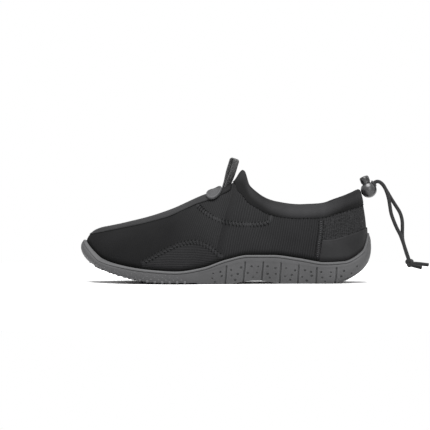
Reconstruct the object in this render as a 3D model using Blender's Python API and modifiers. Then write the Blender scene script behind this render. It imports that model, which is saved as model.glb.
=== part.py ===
"""Water shoe, left foot: a neoprene slip-on with a moulded cup sole and a drawcord at the heel.

Metres, +Z up. The toe points to -X, the outer (lateral) side faces -Y. The origin lies on the floor
under the middle of the heel. Stations run from 0 at the back of the heel to 13 at the tip of the toe,
along each side of the shoe. Lengths along the shoe are measured from the back of the heel.
"""
from functools import lru_cache
from math import asin, cos, pi, radians, sin, sqrt

import bmesh
import bpy
from mathutils import Matrix, Vector

# Driving sizes
SOLE_LENGTH = 0.288
BALL_WIDTH = 0.100
HEEL_WIDTH = 0.074
INSTEP_HEIGHT = 0.1108
HEEL_HEIGHT = 0.0926
COLLAR_WIDTH = 0.060
HEEL_STACK = 0.013
HEEL_REST = 0.047
SEAT_GAP = 0.0003

# Upper and what is sewn on it
UPPER_WALL = 0.0026
BINDING_WIDTH = 0.0130
BINDING_WALL = 0.0038
SEAM_RISE = 0.0012
SEAM_SHIFT = 0.09
PANEL_WIDTH = 0.046
PANEL_THICK = 0.0012
COUNTER_HEIGHT = 0.0545
COUNTER_THICK = 0.0008
BADGE_LENGTH = 0.0165
BADGE_WIDTH = 0.0240
BADGE_THICK = 0.0022
BADGE_LEAN = 0.0080
LOOP_HEIGHT = 0.0237
LOOP_WIDTH = 0.0090
LOOP_THICK = 0.0013
LOOP_HOLE = 0.0034

# Sole
RIM_HEIGHT = 0.049
RIM_WALL = 0.0020
LIP_HEIGHT = 0.0020
LIP_STEP = 0.0005
TOE_SPRING = 0.0145
HEEL_BEVEL = 0.0100
ARCH_LIFT = 0.0060
TREAD_DEPTH = 0.0015
GROOVE_PITCH = 0.0178
GROOVE_WIDTH = 0.0026
GROOVE_DEPTH = 0.0012
GROOVE_COUNT = 7
GROOVE_START = 0.0382
GROOVE_SWING = 0.006
RING_WIDTH = 0.0026
INSOLE_THICK = 0.0030

# Cord and cord lock
LOCK_RADIUS = 0.0079
LOCK_TILT = radians(22)
BUTTON_RADIUS = 0.0040
BUTTON_CLEAR = 0.0003
BUTTON_CAP_RADIUS = 0.0047
BUTTON_CAP_LIFT = 0.0075
BUTTON_TOP = 0.0143
BUTTON_TRAVEL = 0.0030
CORD_DIAMETER = 0.0036
KNOT_SIZE = (0.0038, 0.0040, 0.0046)

# Form of the last: the feather line and the curve of the wall above it.
# along is a share of SOLE_LENGTH; lateral and medial half widths, flare and reach are shares of the
# local breadth, which runs from HEEL_WIDTH to BALL_WIDTH by the column forefoot; middle is a share
# of BALL_WIDTH; feather is a share of HEEL_STACK; rise and drop are shares of the local height.
FORM_COLUMNS = ("station", "along", "lateral", "medial", "forefoot", "middle", "feather",
                "flare", "rise", "reach", "drop")
FORM = (
    (0.0, 0.059, 0.000, 0.000, 0.00, 0.00, 1.00, 0.257, 0.12, 0.085, 0.260),
    (1.0, 0.070, 0.189, 0.189, 0.00, 0.00, 1.00, 0.230, 0.13, 0.085, 0.270),
    (2.0, 0.108, 0.338, 0.331, 0.00, 0.00, 1.00, 0.160, 0.18, 0.090, 0.300),
    (3.0, 0.170, 0.405, 0.392, 0.00, 0.00, 1.00, 0.120, 0.25, 0.080, 0.320),
    (4.0, 0.260, 0.418, 0.379, 0.05, 0.00, 0.97, 0.100, 0.32, 0.060, 0.330),
    (5.0, 0.347, 0.423, 0.335, 0.20, 0.00, 0.93, 0.090, 0.36, 0.060, 0.330),
    (6.0, 0.431, 0.438, 0.320, 0.42, 0.00, 0.87, 0.083, 0.38, 0.090, 0.270),
    (6.6, 0.476, 0.447, 0.330, 0.55, 0.00, 0.82, 0.083, 0.38, 0.140, 0.120),
    (7.0, 0.507, 0.456, 0.342, 0.64, 0.00, 0.79, 0.083, 0.36, 0.170, 0.000),
    (7.5, 0.545, 0.469, 0.365, 0.74, 0.00, 0.75, 0.084, 0.36, 0.185, 0.000),
    (8.0, 0.583, 0.483, 0.390, 0.82, 0.00, 0.70, 0.084, 0.38, 0.200, 0.000),
    (9.0, 0.670, 0.500, 0.420, 1.00, 0.01, 0.65, 0.080, 0.40, 0.250, 0.010),
    (10.0, 0.760, 0.485, 0.415, 1.00, 0.03, 0.69, 0.080, 0.40, 0.290, 0.035),
    (11.0, 0.844, 0.415, 0.345, 1.00, 0.06, 0.88, 0.090, 0.40, 0.290, 0.060),
    (12.0, 0.906, 0.262, 0.225, 1.00, 0.08, 1.18, 0.120, 0.38, 0.270, 0.100),
    (13.0, 0.941, 0.000, 0.000, 1.00, 0.09, 1.42, 0.170, 0.34, 0.250, 0.105),
)

# Top edge: the collar up to station 7, then the ridge of the instep and toes.
# along is a share of SOLE_LENGTH; heel and instep are shares of HEEL_HEIGHT and INSTEP_HEIGHT, added;
# opening is a share of COLLAR_WIDTH; band is a share of BINDING_WIDTH; panel is a share of
# PANEL_WIDTH; counter is a share of COUNTER_HEIGHT.
TOP_COLUMNS = ("station", "along", "heel", "instep", "opening", "band", "panel", "counter")
TOP = (
    (0.0, 0.043, 1.000, 0.000, 0.000, 1.08, 0.26, 1.000),
    (1.0, 0.052, 0.985, 0.000, 0.220, 1.07, 0.26, 0.965),
    (2.0, 0.090, 0.932, 0.000, 0.385, 1.02, 0.26, 0.870),
    (3.0, 0.146, 0.867, 0.000, 0.460, 0.98, 0.26, 0.790),
    (4.0, 0.233, 0.700, 0.112, 0.500, 0.92, 0.26, 0.790),
    (5.0, 0.313, 0.500, 0.298, 0.475, 0.97, 0.26, 0.790),
    (6.0, 0.382, 0.200, 0.618, 0.360, 1.02, 0.26, 0.790),
    (6.6, 0.422, 0.070, 0.826, 0.175, 1.23, 0.26, 0.790),
    (7.0, 0.442, 0.000, 1.000, 0.000, 1.55, 0.26, 0.790),
    (7.5, 0.477, 0.000, 0.889, 0.000, 0.00, 0.28, 0.790),
    (8.0, 0.510, 0.000, 0.838, 0.000, 0.00, 0.33, 0.790),
    (9.0, 0.590, 0.000, 0.755, 0.000, 0.00, 0.41, 0.790),
    (10.0, 0.684, 0.000, 0.645, 0.000, 0.00, 0.50, 0.790),
    (11.0, 0.771, 0.000, 0.570, 0.000, 0.00, 0.48, 0.790),
    (12.0, 0.854, 0.000, 0.520, 0.000, 0.00, 0.43, 0.790),
    (13.0, 0.910, 0.000, 0.496, 0.000, 0.00, 0.41, 0.790),
)

# Side of the sole: rim is a share of RIM_HEIGHT; edge, high and low are shares of HEEL_STACK, and
# turn is a share of the height of the side.
SIDE_COLUMNS = ("station", "rim", "edge", "high", "low", "turn")
SIDE = (
    (0.0, 1.000, 0.31, 0.37, 1.23, 0.20),
    (1.0, 0.670, 0.30, 0.34, 1.00, 0.22),
    (2.0, 0.460, 0.25, 0.22, 0.55, 0.28),
    (3.0, 0.440, 0.20, 0.12, 0.25, 0.33),
    (4.0, 0.520, 0.15, 0.08, 0.18, 0.33),
    (5.0, 0.580, 0.12, 0.08, 0.16, 0.33),
    (6.0, 0.580, 0.12, 0.08, 0.16, 0.33),
    (7.0, 0.486, 0.12, 0.08, 0.16, 0.33),
    (8.0, 0.335, 0.12, 0.07, 0.15, 0.33),
    (9.0, 0.261, 0.12, 0.06, 0.14, 0.33),
    (10.0, 0.292, 0.12, 0.08, 0.16, 0.33),
    (11.0, 0.367, 0.11, 0.22, 0.34, 0.32),
    (12.0, 0.500, 0.10, 0.56, 0.80, 0.25),
    (13.0, 0.849, 0.08, 0.69, 1.08, 0.20),
)

# Section of the collar binding: share is of its width from the seam up, face and back are shares of
# BINDING_WALL outside the upper's outer face.
BAND = (
    (0.00, 0.00, -0.68),
    (0.06, 0.14, -0.80),
    (0.25, 0.16, -0.84),
    (0.50, 0.16, -0.84),
    (0.75, 0.16, -0.84),
    (0.93, 0.12, -0.80),
    (1.00, -0.10, -0.60),
)

# Forefoot rings of the tread, from the outermost to the innermost: rounded triangles with their
# point towards the toe. along is a share of SOLE_LENGTH from the toe, across of BALL_WIDTH.
RING_COLUMNS = ("outer_along", "outer_across", "inner_along", "inner_across")
RING = (
    (0.055, 0.12, 0.118, 0.06),
    (0.072, 0.20, 0.146, 0.095),
    (0.190, 0.245, 0.229, 0.11),
    (0.312, 0.24, 0.290, 0.115),
    (0.380, 0.19, 0.316, 0.09),
    (0.385, 0.09, 0.316, 0.03),
    (0.354, -0.05, 0.305, -0.06),
    (0.345, -0.15, 0.300, -0.14),
    (0.360, -0.27, 0.302, -0.20),
    (0.337, -0.33, 0.286, -0.23),
    (0.250, -0.24, 0.236, -0.18),
    (0.156, -0.10, 0.181, -0.09),
    (0.085, 0.03, 0.139, -0.01),
)
RING_COUNT = 3
CUP_STEPS = 8
WALL_STEPS = 5
UNDER_SHARES = (0.05, 0.28, 0.52, 0.76, 1.0)

THROAT = 7.0
BAND_END = 7.5
TOE = 13.0
COUNTER_END = 3.2
LOOP_STATION = 7.72
BADGE_STATION = 8.35
PANEL_TOP = 2.7 * SEAT_GAP + PANEL_THICK
LATERAL = -1
MEDIAL = 1

# Routes of the cords, chosen by hand, in metres
STRAND_A = ((0.0491, -0.0020, 0.0978), (0.0507, -0.0020, 0.0993), (0.0533, -0.0020, 0.0998),
            (0.0563, -0.0020, 0.0983), (0.0590, -0.0020, 0.0952), (0.0618, -0.0021, 0.0891),
            (0.0637, -0.0022, 0.0825), (0.0648, -0.0023, 0.0759), (0.0661, -0.0023, 0.0683),
            (0.0687, -0.0022, 0.0608), (0.0720, -0.0021, 0.0532), (0.0750, -0.0020, 0.0475),
            (0.0773, -0.0020, 0.0415), (0.0804, -0.0020, 0.0324), (0.0832, -0.0020, 0.0240))
STRAND_B = ((0.0491, 0.0020, 0.0978), (0.0507, 0.0020, 0.0993), (0.0533, 0.0020, 0.0998),
            (0.0563, 0.0020, 0.0983), (0.0590, 0.0020, 0.0952), (0.0626, 0.0021, 0.0893),
            (0.0667, 0.0022, 0.0823), (0.0708, 0.0023, 0.0759), (0.0750, 0.0023, 0.0690),
            (0.0771, 0.0022, 0.0620), (0.0775, 0.0021, 0.0546), (0.0774, 0.0020, 0.0480),
            (0.0779, 0.0020, 0.0417), (0.0804, 0.0020, 0.0324), (0.0832, 0.0020, 0.0240))
TAIL_A = ((0.0884, -0.0017, 0.0189), (0.0940, -0.0022, 0.0185), (0.0990, -0.0022, 0.0179),
          (0.1035, -0.0022, 0.0174))
TAIL_B = ((0.0881, 0.0021, 0.0166), (0.0920, 0.0024, 0.0156), (0.0970, 0.0026, 0.0143))
KNOT_CENTRE = (0.0844, 0.0, 0.0195)


@lru_cache(maxsize=None)
def slopes(table, index):
    """Slope of one column at each row, so that the curve through the rows never overshoots.
    A column levels off at the heel and the toe, unless it crosses the middle plane there."""
    places = [row[0] for row in table]
    values = [row[index] for row in table]
    gaps = [b - a for a, b in zip(places, places[1:])]
    rates = [(b - a) / gap for a, b, gap in zip(values, values[1:], gaps)]
    first = ((2 * gaps[0] + gaps[1]) * rates[0] - gaps[0] * rates[1]) / (gaps[0] + gaps[1])
    result = [0.0 if values[0] else first]
    for left, right, near, far in zip(gaps, gaps[1:], rates, rates[1:]):
        if near * far <= 0:
            result.append(0.0)
        else:
            heavy, light = 2 * right + left, right + 2 * left
            result.append((heavy + light) / (heavy / near + light / far))
    last = ((2 * gaps[-1] + gaps[-2]) * rates[-1] - gaps[-1] * rates[-2]) / (gaps[-1] + gaps[-2])
    return tuple(result + [0.0 if values[-1] else last])


def read(table, columns, name, station):
    """Value of a table's column at a station, on a smooth curve through its rows."""
    index = columns.index(name)
    slope = slopes(table, index)
    row = 0
    while row < len(table) - 2 and station > table[row + 1][0]:
        row += 1
    start, end = table[row], table[row + 1]
    gap = end[0] - start[0]
    s = (station - start[0]) / gap
    return ((1 + 2 * s) * (1 - s) ** 2 * start[index] + s * (1 - s) ** 2 * gap * slope[row]
            + s * s * (3 - 2 * s) * end[index] + s * s * (s - 1) * gap * slope[row + 1])


def form(name, station):
    return read(FORM, FORM_COLUMNS, name, station)


def top(name, station):
    return read(TOP, TOP_COLUMNS, name, station)


def wall(name, station):
    return read(SIDE, SIDE_COLUMNS, name, station)


def place(along, across, height):
    """A point from its distance from the back of the heel, its offset and its height."""
    return Vector((HEEL_REST - along, across, height))


def breadth(station):
    return HEEL_WIDTH + (BALL_WIDTH - HEEL_WIDTH) * form("forefoot", station)


def top_height(station):
    return HEEL_HEIGHT * top("heel", station) + INSTEP_HEIGHT * top("instep", station)


@lru_cache(maxsize=None)
def feather_point(side, station):
    """A point of the line where the upper meets the sole."""
    half = form("lateral" if side == LATERAL else "medial", station) * breadth(station)
    middle = form("middle", station) * BALL_WIDTH
    return place(form("along", station) * SOLE_LENGTH, middle + side * half,
                 form("feather", station) * HEEL_STACK)


@lru_cache(maxsize=None)
def outward(side, station):
    """Level direction that points away from the shoe at a station of the feather line."""
    if station <= 0:
        return Vector((1, 0, 0))
    if station >= TOE:
        return Vector((-1, 0, 0))
    step = min(0.05, station, TOE - station)
    run = feather_point(side, station + step) - feather_point(side, station - step)
    return Vector((side * run.y, -side * run.x, 0)).normalized()


@lru_cache(maxsize=None)
def ribs(side, station):
    """The four control points of the upper's curve at a station, from the feather line up."""
    foot = feather_point(side, station)
    level = form("middle", station) * BALL_WIDTH + side * top("opening", station) * COLLAR_WIDTH
    crown = place(top("along", station) * SOLE_LENGTH, level, top_height(station))
    height = crown.z - foot.z
    out = outward(side, station) * breadth(station)
    lower = foot + out * form("flare", station) + Vector((0, 0, height * form("rise", station)))
    upper = crown + out * form("reach", station) - Vector((0, 0, height * form("drop", station)))
    return foot, lower, upper, crown


def skin_point(side, station, level):
    """A point of the upper's outer face: level runs from 0 at the feather line to 1 at the top.
    Past the heel, the toe and the ridge the face goes on as the other side's."""
    if station < 0:
        side, station = -side, -station
    if station > TOE:
        side, station = -side, 2 * TOE - station
    if level > 1 and station >= THROAT:
        side, level = -side, 2 - level
    foot, lower, upper, crown = ribs(side, station)
    rest = 1 - level
    return (foot * rest ** 3 + lower * (3 * level * rest ** 2)
            + upper * (3 * level ** 2 * rest) + crown * level ** 3)


def skin_normal(side, station, level):
    """Outward normal of the upper's outer face."""
    step = 0.02
    if station > TOE - step and level > 1 - step:
        return skin_normal(side, TOE - 10 * step, level)
    back = max(station - step, THROAT) if station >= THROAT else station - step
    ahead = min(station + step, THROAT) if station < THROAT else station + step
    along = skin_point(side, ahead, level) - skin_point(side, back, level)
    up = skin_point(side, station, level + step) - skin_point(side, station, level - step)
    return (up.cross(along) * -side).normalized()


def skin(side, station, level, out=0.0):
    """A point at a distance outside the upper's outer face."""
    point = skin_point(side, station, level)
    if out:
        point = point + skin_normal(side, station, level) * out
    return point


def level_at(side, station, height):
    """Level at which the upper's face reaches a height above the floor."""
    low, high = 0.0, 1.0
    for _ in range(30):
        middle = (low + high) / 2
        if skin_point(side, station, middle).z < height:
            low = middle
        else:
            high = middle
    return high


def level_below_top(side, station, distance):
    """Level that lies a distance along the face below its top."""
    steps = 60
    walked = 0.0
    above = skin_point(side, station, 1.0)
    for count in range(1, steps + 1):
        level = 1 - count / steps
        point = skin_point(side, station, level)
        step = (point - above).length
        if walked + step >= distance:
            return level + (walked + step - distance) / step / steps
        walked += step
        above = point
    return 0.0


def station_at(along):
    """Station of the feather line at a distance from the back of the heel."""
    low, high = 0.0, TOE
    for _ in range(40):
        middle = (low + high) / 2
        if form("along", middle) * SOLE_LENGTH < along:
            low = middle
        else:
            high = middle
    return high


def spread(start, end, count):
    """Evenly spaced values from start to end, both included."""
    return [start + (end - start) * k / (count - 1) for k in range(count)]


UPPER_LINES = spread(0, THROAT, 18) + spread(THROAT, BAND_END, 3)[1:] + spread(BAND_END, TOE, 16)[1:]


def seam_level(side, station, rise=0.0):
    """Level of the seam under the collar binding, or the top where there is no binding.
    rise lifts it by a distance."""
    if station >= BAND_END:
        return 1.0
    drop = top("band", station) * BINDING_WIDTH - rise
    return level_at(side, station, top_height(station) - drop)


# Building the meshes

def material(name, colour, roughness, metallic=0.0):
    """A plain painted finish."""
    made = bpy.data.materials.new(name)
    made.use_nodes = True
    shader = made.node_tree.nodes["Principled BSDF"]
    shader.inputs["Base Color"].default_value = (*colour, 1)
    shader.inputs["Roughness"].default_value = roughness
    shader.inputs["Metallic"].default_value = metallic
    return made


def add_mesh(name, build, finish, collection):
    """A new object from a bmesh, its doubled points merged."""
    bmesh.ops.remove_doubles(build, verts=build.verts, dist=1e-6)
    mesh = bpy.data.meshes.new(name)
    build.to_mesh(mesh)
    build.free()
    mesh.shade_smooth()
    mesh.set_sharp_from_angle(angle=radians(40))
    made = bpy.data.objects.new(name, mesh)
    made.data.materials.append(finish)
    collection.objects.link(made)
    return made


def add_grid(build, rows, flip=False, closed=False):
    """Faces between rows of points; closed joins each row's last point to its first."""
    made = [[build.verts.new(point) for point in row] for row in rows]
    for near, far in zip(made, made[1:]):
        last = len(near) if closed else len(near) - 1
        for k in range(last):
            after = (k + 1) % len(near)
            corners = [near[k], near[after], far[after], far[k]]
            build.faces.new(corners[::-1] if flip else corners)
    return made


def even(steps, out, thickness):
    """Section of a sheet of even thickness: rows of share across it, face and back."""
    return [(k / steps, out, out - thickness) for k in range(steps + 1)]


def add_shell(name, stations, low, high, section, finish, collection, lean=None):
    """A sheet that follows the upper on both sides between two levels. Its two halves join at the
    heel, the toe and the ridge, and it is closed at its other edges. Its section has rows of the
    share from the low edge to the high one and the distances of face and back outside the upper's
    outer face. lean gives the normal that the low edge is cut along."""
    build = bmesh.new()
    steps = len(section) - 1
    for side in (LATERAL, MEDIAL):
        rows = []
        ridge = []
        for station in stations:
            start, end = low(side, station), high(side, station)
            ridge.append(station >= THROAT and end > 0.999)
            face, back = [], []
            for k, (share, out, inner) in enumerate(section):
                level = start + (end - start) * share
                normal = skin_normal(side, station, level)
                if end - start < 1e-6:
                    _, out, inner = section[steps // 2]
                elif ridge[-1] and k == steps:
                    _, out, inner = section[k - 1]
                elif lean and not k:
                    normal = lean(side, station)
                point = skin_point(side, station, level)
                face.append(point + normal * out)
                back.append(point + normal * inner)
            rows.append([build.verts.new(point) for point in face + back[::-1]])
        for k in range(len(rows) - 1):
            for m in range(len(rows[k])):
                if m == steps and ridge[k] and ridge[k + 1]:
                    continue
                after = (m + 1) % len(rows[k])
                corners = [rows[k][m], rows[k][after], rows[k + 1][after], rows[k + 1][m]]
                build.faces.new(corners[::-1] if side == MEDIAL else corners)
        ends = [rows[0]] if stations[0] > 0 else []
        ends += [rows[-1][::-1]] if stations[-1] < TOE else []
        for row in ends:
            for m in range(steps):
                corners = [row[m], row[-1 - m], row[-2 - m], row[m + 1]]
                build.faces.new(corners if side == MEDIAL else corners[::-1])
    bmesh.ops.remove_doubles(build, verts=build.verts, dist=1e-6)
    bmesh.ops.dissolve_degenerate(build, edges=build.edges, dist=1e-6)
    bmesh.ops.recalc_face_normals(build, faces=build.faces)
    return add_mesh(name, build, finish, collection)


def union(base, extra):
    """Join a piece to a base and remove the piece."""
    modifier = base.modifiers.new("joined", "BOOLEAN")
    modifier.operation = "UNION"
    modifier.object = extra
    settle(base)
    bpy.data.objects.remove(extra)


def settle(made):
    """Turn an object's evaluated mesh into its own mesh."""
    view = bpy.context.view_layer
    view.update()
    mesh = bpy.data.meshes.new_from_object(made.evaluated_get(bpy.context.evaluated_depsgraph_get()))
    made.modifiers.clear()
    made.data = mesh


# Sole

def ground(along, share):
    """Height of the sole's underside: share runs from -1 at the outer edge to 1 at the inner."""
    toe_start, toe_end = 0.722 * SOLE_LENGTH, 0.945 * SOLE_LENGTH
    heel_start, heel_end = 0.140 * SOLE_LENGTH, 0.045 * SOLE_LENGTH
    arch_start, arch_end = 0.290 * SOLE_LENGTH, 0.510 * SOLE_LENGTH
    step_start, step_end = 0.594 * SOLE_LENGTH, 0.602 * SOLE_LENGTH
    height = TREAD_DEPTH * min(max((along - step_start) / (step_end - step_start), 0), 1)
    if along > toe_start:
        height += TOE_SPRING * ((along - toe_start) / (toe_end - toe_start)) ** 1.7
    if along < heel_start:
        height += HEEL_BEVEL * ((heel_start - along) / (heel_start - heel_end)) ** 1.7
    if arch_start < along < arch_end:
        lift = sin(pi * (along - arch_start) / (arch_end - arch_start)) ** 2
        height += ARCH_LIFT * lift * (1 + 0.45 * share)
    return height


def bezier(start, first, second, end, s):
    rest = 1 - s
    return start * rest ** 3 + first * (3 * s * rest ** 2) + second * (3 * s * s * rest) + end * s ** 3


def edge_point(side, station):
    """Where the sole's side meets its underside."""
    foot = feather_point(side, station)
    edge = foot + outward(side, station) * (wall("edge", station) * HEEL_STACK)
    edge.z = ground(HEEL_REST - edge.x, side)
    return edge


def sole_half(side, station, depth):
    """Half of the sole's section, from the middle of the cup out, over the rim and back under.
    depth is that of the groove at this station."""
    rim = level_at(side, station, wall("rim", station) * RIM_HEIGHT)
    cup = [skin(side, station, rim * k / CUP_STEPS, SEAT_GAP) for k in range(CUP_STEPS + 1)]
    corners = []
    for each in (LATERAL, MEDIAL):
        corner = skin(each, station, 0, SEAT_GAP)
        corner.z = min(corner.z, feather_point(each, station).z - SEAT_GAP)
        corners.append(corner)
    cup[0] = corners[0] if side == LATERAL else corners[1]
    bed = [(corners[0] + corners[1]) / 2, cup[0].lerp((corners[0] + corners[1]) / 2, 0.4)]
    out = outward(side, station)
    start = skin(side, station, rim, SEAT_GAP + RIM_WALL)
    edge = edge_point(side, station)
    height = start.z - edge.z
    turn = wall("turn", station) * height
    first = start + out * (wall("high", station) * HEEL_STACK) - Vector((0, 0, turn))
    second = edge + out * (wall("low", station) * HEEL_STACK) + Vector((0, 0, turn))
    lip = min(LIP_HEIGHT / height, 0.25)
    face = [start, bezier(start, first, second, edge, lip)]
    for k in range(WALL_STEPS):
        s = lip * 1.3 + (0.93 - lip * 1.3) * k / (WALL_STEPS - 1)
        cut = LIP_STEP + (depth if k else 0)
        face.append(bezier(start, first, second, edge, s) - out * cut)
    middle = (edge_point(LATERAL, station) + edge_point(MEDIAL, station)) / 2
    under = []
    for share in UNDER_SHARES:
        point = edge.lerp(middle, share)
        along = HEEL_REST - point.x
        window = min(max((along - 0.07 * SOLE_LENGTH) / (0.06 * SOLE_LENGTH), 0), 1)
        window *= min(max((0.62 * SOLE_LENGTH - along) / (0.08 * SOLE_LENGTH), 0), 1)
        along += -side * GROOVE_SWING * sin(pi * (1 - share)) * window
        under.append(place(along, point.y, ground(along, side * (1 - share)) + depth))
    return bed + cup + face + under


def groove_lines():
    """Stations of the side grooves, each with the depth that it has there."""
    lines = []
    for count in range(GROOVE_COUNT):
        centre = GROOVE_START + GROOVE_PITCH * count
        for offset, depth in ((-0.5, 0), (-0.28, 1), (0.28, 1), (0.5, 0)):
            lines.append((station_at(centre + offset * GROOVE_WIDTH), depth * GROOVE_DEPTH))
    return lines


def sole_lines():
    """Stations of the sole's sections: the upper's, with the grooves' and the tread step's."""
    lines = groove_lines()
    lines += [(station_at(share * SOLE_LENGTH), 0) for share in (0.594, 0.602)]
    taken = [station for station, _ in lines]
    lines += [(station, 0) for station in UPPER_LINES if min(abs(station - t) for t in taken) > 0.1]
    return sorted(lines)


def ring_point(share, turn):
    """A point of a forefoot ring's middle line; share 0 is the outermost ring, 1 the innermost."""
    count = len(RING)
    index = int(turn * count) % count
    s = turn * count - int(turn * count)
    corners = []
    for offset in (-1, 0, 1, 2):
        row = dict(zip(RING_COLUMNS, RING[(index + offset) % count]))
        along = row["outer_along"] + (row["inner_along"] - row["outer_along"]) * share
        across = row["outer_across"] + (row["inner_across"] - row["outer_across"]) * share
        corners.append(Vector((SOLE_LENGTH * (1 - along), BALL_WIDTH * across)))
    a, b, c, d = corners
    return 0.5 * ((2 * b) + (c - a) * s + (2 * a - 5 * b + 4 * c - d) * s * s
                  + (3 * b - a - 3 * c + d) * s ** 3)


def add_ring(share, points, finish, collection):
    """One raised ring of the forefoot tread, sunk into the sole by its own depth."""
    build = bmesh.new()
    rows = []
    for k in range(points):
        centre = ring_point(share, k / points)
        run = ring_point(share, (k + 0.5) / points) - ring_point(share, (k - 0.5) / points)
        across = Vector((run.y, -run.x)).normalized() * RING_WIDTH / 2
        row = []
        for edge, lift in ((1.15, 1.5), (1.0, 0.0), (-1.0, 0.0), (-1.15, 1.5)):
            flat = centre + across * edge
            height = ground(centre.x, 0) - TREAD_DEPTH + lift * TREAD_DEPTH
            row.append(place(flat.x, flat.y, height))
        rows.append(row)
    rows.append(rows[0])
    add_grid(build, rows, closed=True)
    bmesh.ops.remove_doubles(build, verts=build.verts, dist=1e-6)
    bmesh.ops.recalc_face_normals(build, faces=build.faces)
    return add_mesh("ring", build, finish, collection)


def make_outsole(finish, collection):
    build = bmesh.new()
    lines = sole_lines()
    for side in (LATERAL, MEDIAL):
        rows = [sole_half(side, station, depth) for station, depth in lines]
        add_grid(build, rows, flip=side == MEDIAL)
    made = add_mesh("outsole", build, finish, collection)
    for count in range(RING_COUNT):
        union(made, add_ring(count / (RING_COUNT - 1), 36, finish, collection))


def make_insole(finish, collection):
    """A flat foam sheet on the cup's floor, inside the upper's lower edge."""
    build = bmesh.new()
    inset = UPPER_WALL + 2 * SEAT_GAP
    for side in (LATERAL, MEDIAL):
        rows = []
        for station in UPPER_LINES:
            if not 0.3 < station < TOE - 0.3:
                continue
            edges = []
            for each in (LATERAL, MEDIAL):
                foot = feather_point(each, station)
                inner = foot - skin_normal(each, station, 0) * inset
                edges.append(Vector((inner.x, inner.y, foot.z)) - outward(each, station) * SEAT_GAP)
            edge = edges[0] if side == LATERAL else edges[1]
            middle = (edges[0] + edges[1]) / 2
            lift = Vector((0, 0, INSOLE_THICK))
            rows.append([middle + lift, edge + lift, edge, middle])
        add_grid(build, rows, flip=side == LATERAL)
    bmesh.ops.remove_doubles(build, verts=build.verts, dist=1e-6)
    bmesh.ops.holes_fill(build, edges=[e for e in build.edges if e.is_boundary], sides=0)
    bmesh.ops.recalc_face_normals(build, faces=build.faces)
    add_mesh("insole", build, finish, collection)


# Upper

def make_upper(finish, collection):
    add_shell("upper", UPPER_LINES, lambda side, station: 0.0, seam_level,
              even(13, 0.0, UPPER_WALL), finish, collection)


def make_binding(finish, collection):
    """The rolled band above the seam; in front of the throat its edge keeps behind the seam."""
    lines = [station for station in UPPER_LINES if station <= THROAT]
    lines += [station - SEAM_SHIFT for station in UPPER_LINES if THROAT < station <= BAND_END]

    def source(station):
        return station + SEAM_SHIFT if station > THROAT else station

    def lower(side, station):
        return seam_level(side, source(station), SEAM_RISE if station <= THROAT else 0.0)

    def lean(side, station):
        return skin_normal(side, source(station), seam_level(side, source(station)))

    section = [(share, face * BINDING_WALL, back * BINDING_WALL) for share, face, back in BAND]
    add_shell("collar_binding", lines, lower, lambda side, station: 1.0, section, finish,
              collection, lean)


def panel_level(side, station):
    return level_below_top(side, station, top("panel", station) * PANEL_WIDTH)


def make_panel(finish, collection):
    lines = [BAND_END + 0.08] + [station for station in UPPER_LINES if station > BAND_END + 0.1]
    add_shell("vamp_panel", lines, panel_level, lambda side, station: 1.0,
              even(5, SEAT_GAP + PANEL_THICK, PANEL_THICK), finish, collection)


def make_counter(finish, collection):
    lines = [station for station in UPPER_LINES if station < COUNTER_END - 0.1] + [COUNTER_END]

    def lower(side, station):
        return level_at(side, station, wall("rim", station) * RIM_HEIGHT + 3 * SEAT_GAP)

    def upper(side, station):
        return level_at(side, station, top("counter", station) * COUNTER_HEIGHT)

    add_shell("heel_counter", lines, lower, upper, even(3, SEAT_GAP + COUNTER_THICK, COUNTER_THICK),
              finish, collection)


def ridge_place(station, offset, out):
    """A point over the ridge: offset is measured along the face, negative towards the outer side."""
    side = LATERAL if offset < 0 else MEDIAL
    return skin(side, station, level_below_top(side, station, abs(offset)), out)


def make_badge(finish, collection):
    """A small oval rubber badge, bare, bent over the ridge on top of the vamp panel."""
    pace = (skin_point(MEDIAL, BADGE_STATION + 0.5, 1) - skin_point(MEDIAL, BADGE_STATION - 0.5, 1)).length
    build = bmesh.new()
    rows = []
    around = 20
    radii = (0.0, 0.35, 0.7, 1.0)
    for out, order in ((PANEL_TOP + BADGE_THICK, radii), (PANEL_TOP, radii[::-1])):
        for radius in order:
            row = []
            for k in range(around):
                angle = 2 * pi * k / around
                station = BADGE_STATION + radius * cos(angle) * BADGE_LENGTH / 2 / pace
                offset = -BADGE_LEAN + radius * sin(angle) * BADGE_WIDTH / 2
                row.append(ridge_place(station, offset, out))
            rows.append(row)
    add_grid(build, rows, closed=True)
    bmesh.ops.remove_doubles(build, verts=build.verts, dist=1e-6)
    bmesh.ops.recalc_face_normals(build, faces=build.faces)
    add_mesh("badge", build, finish, collection)


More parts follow.
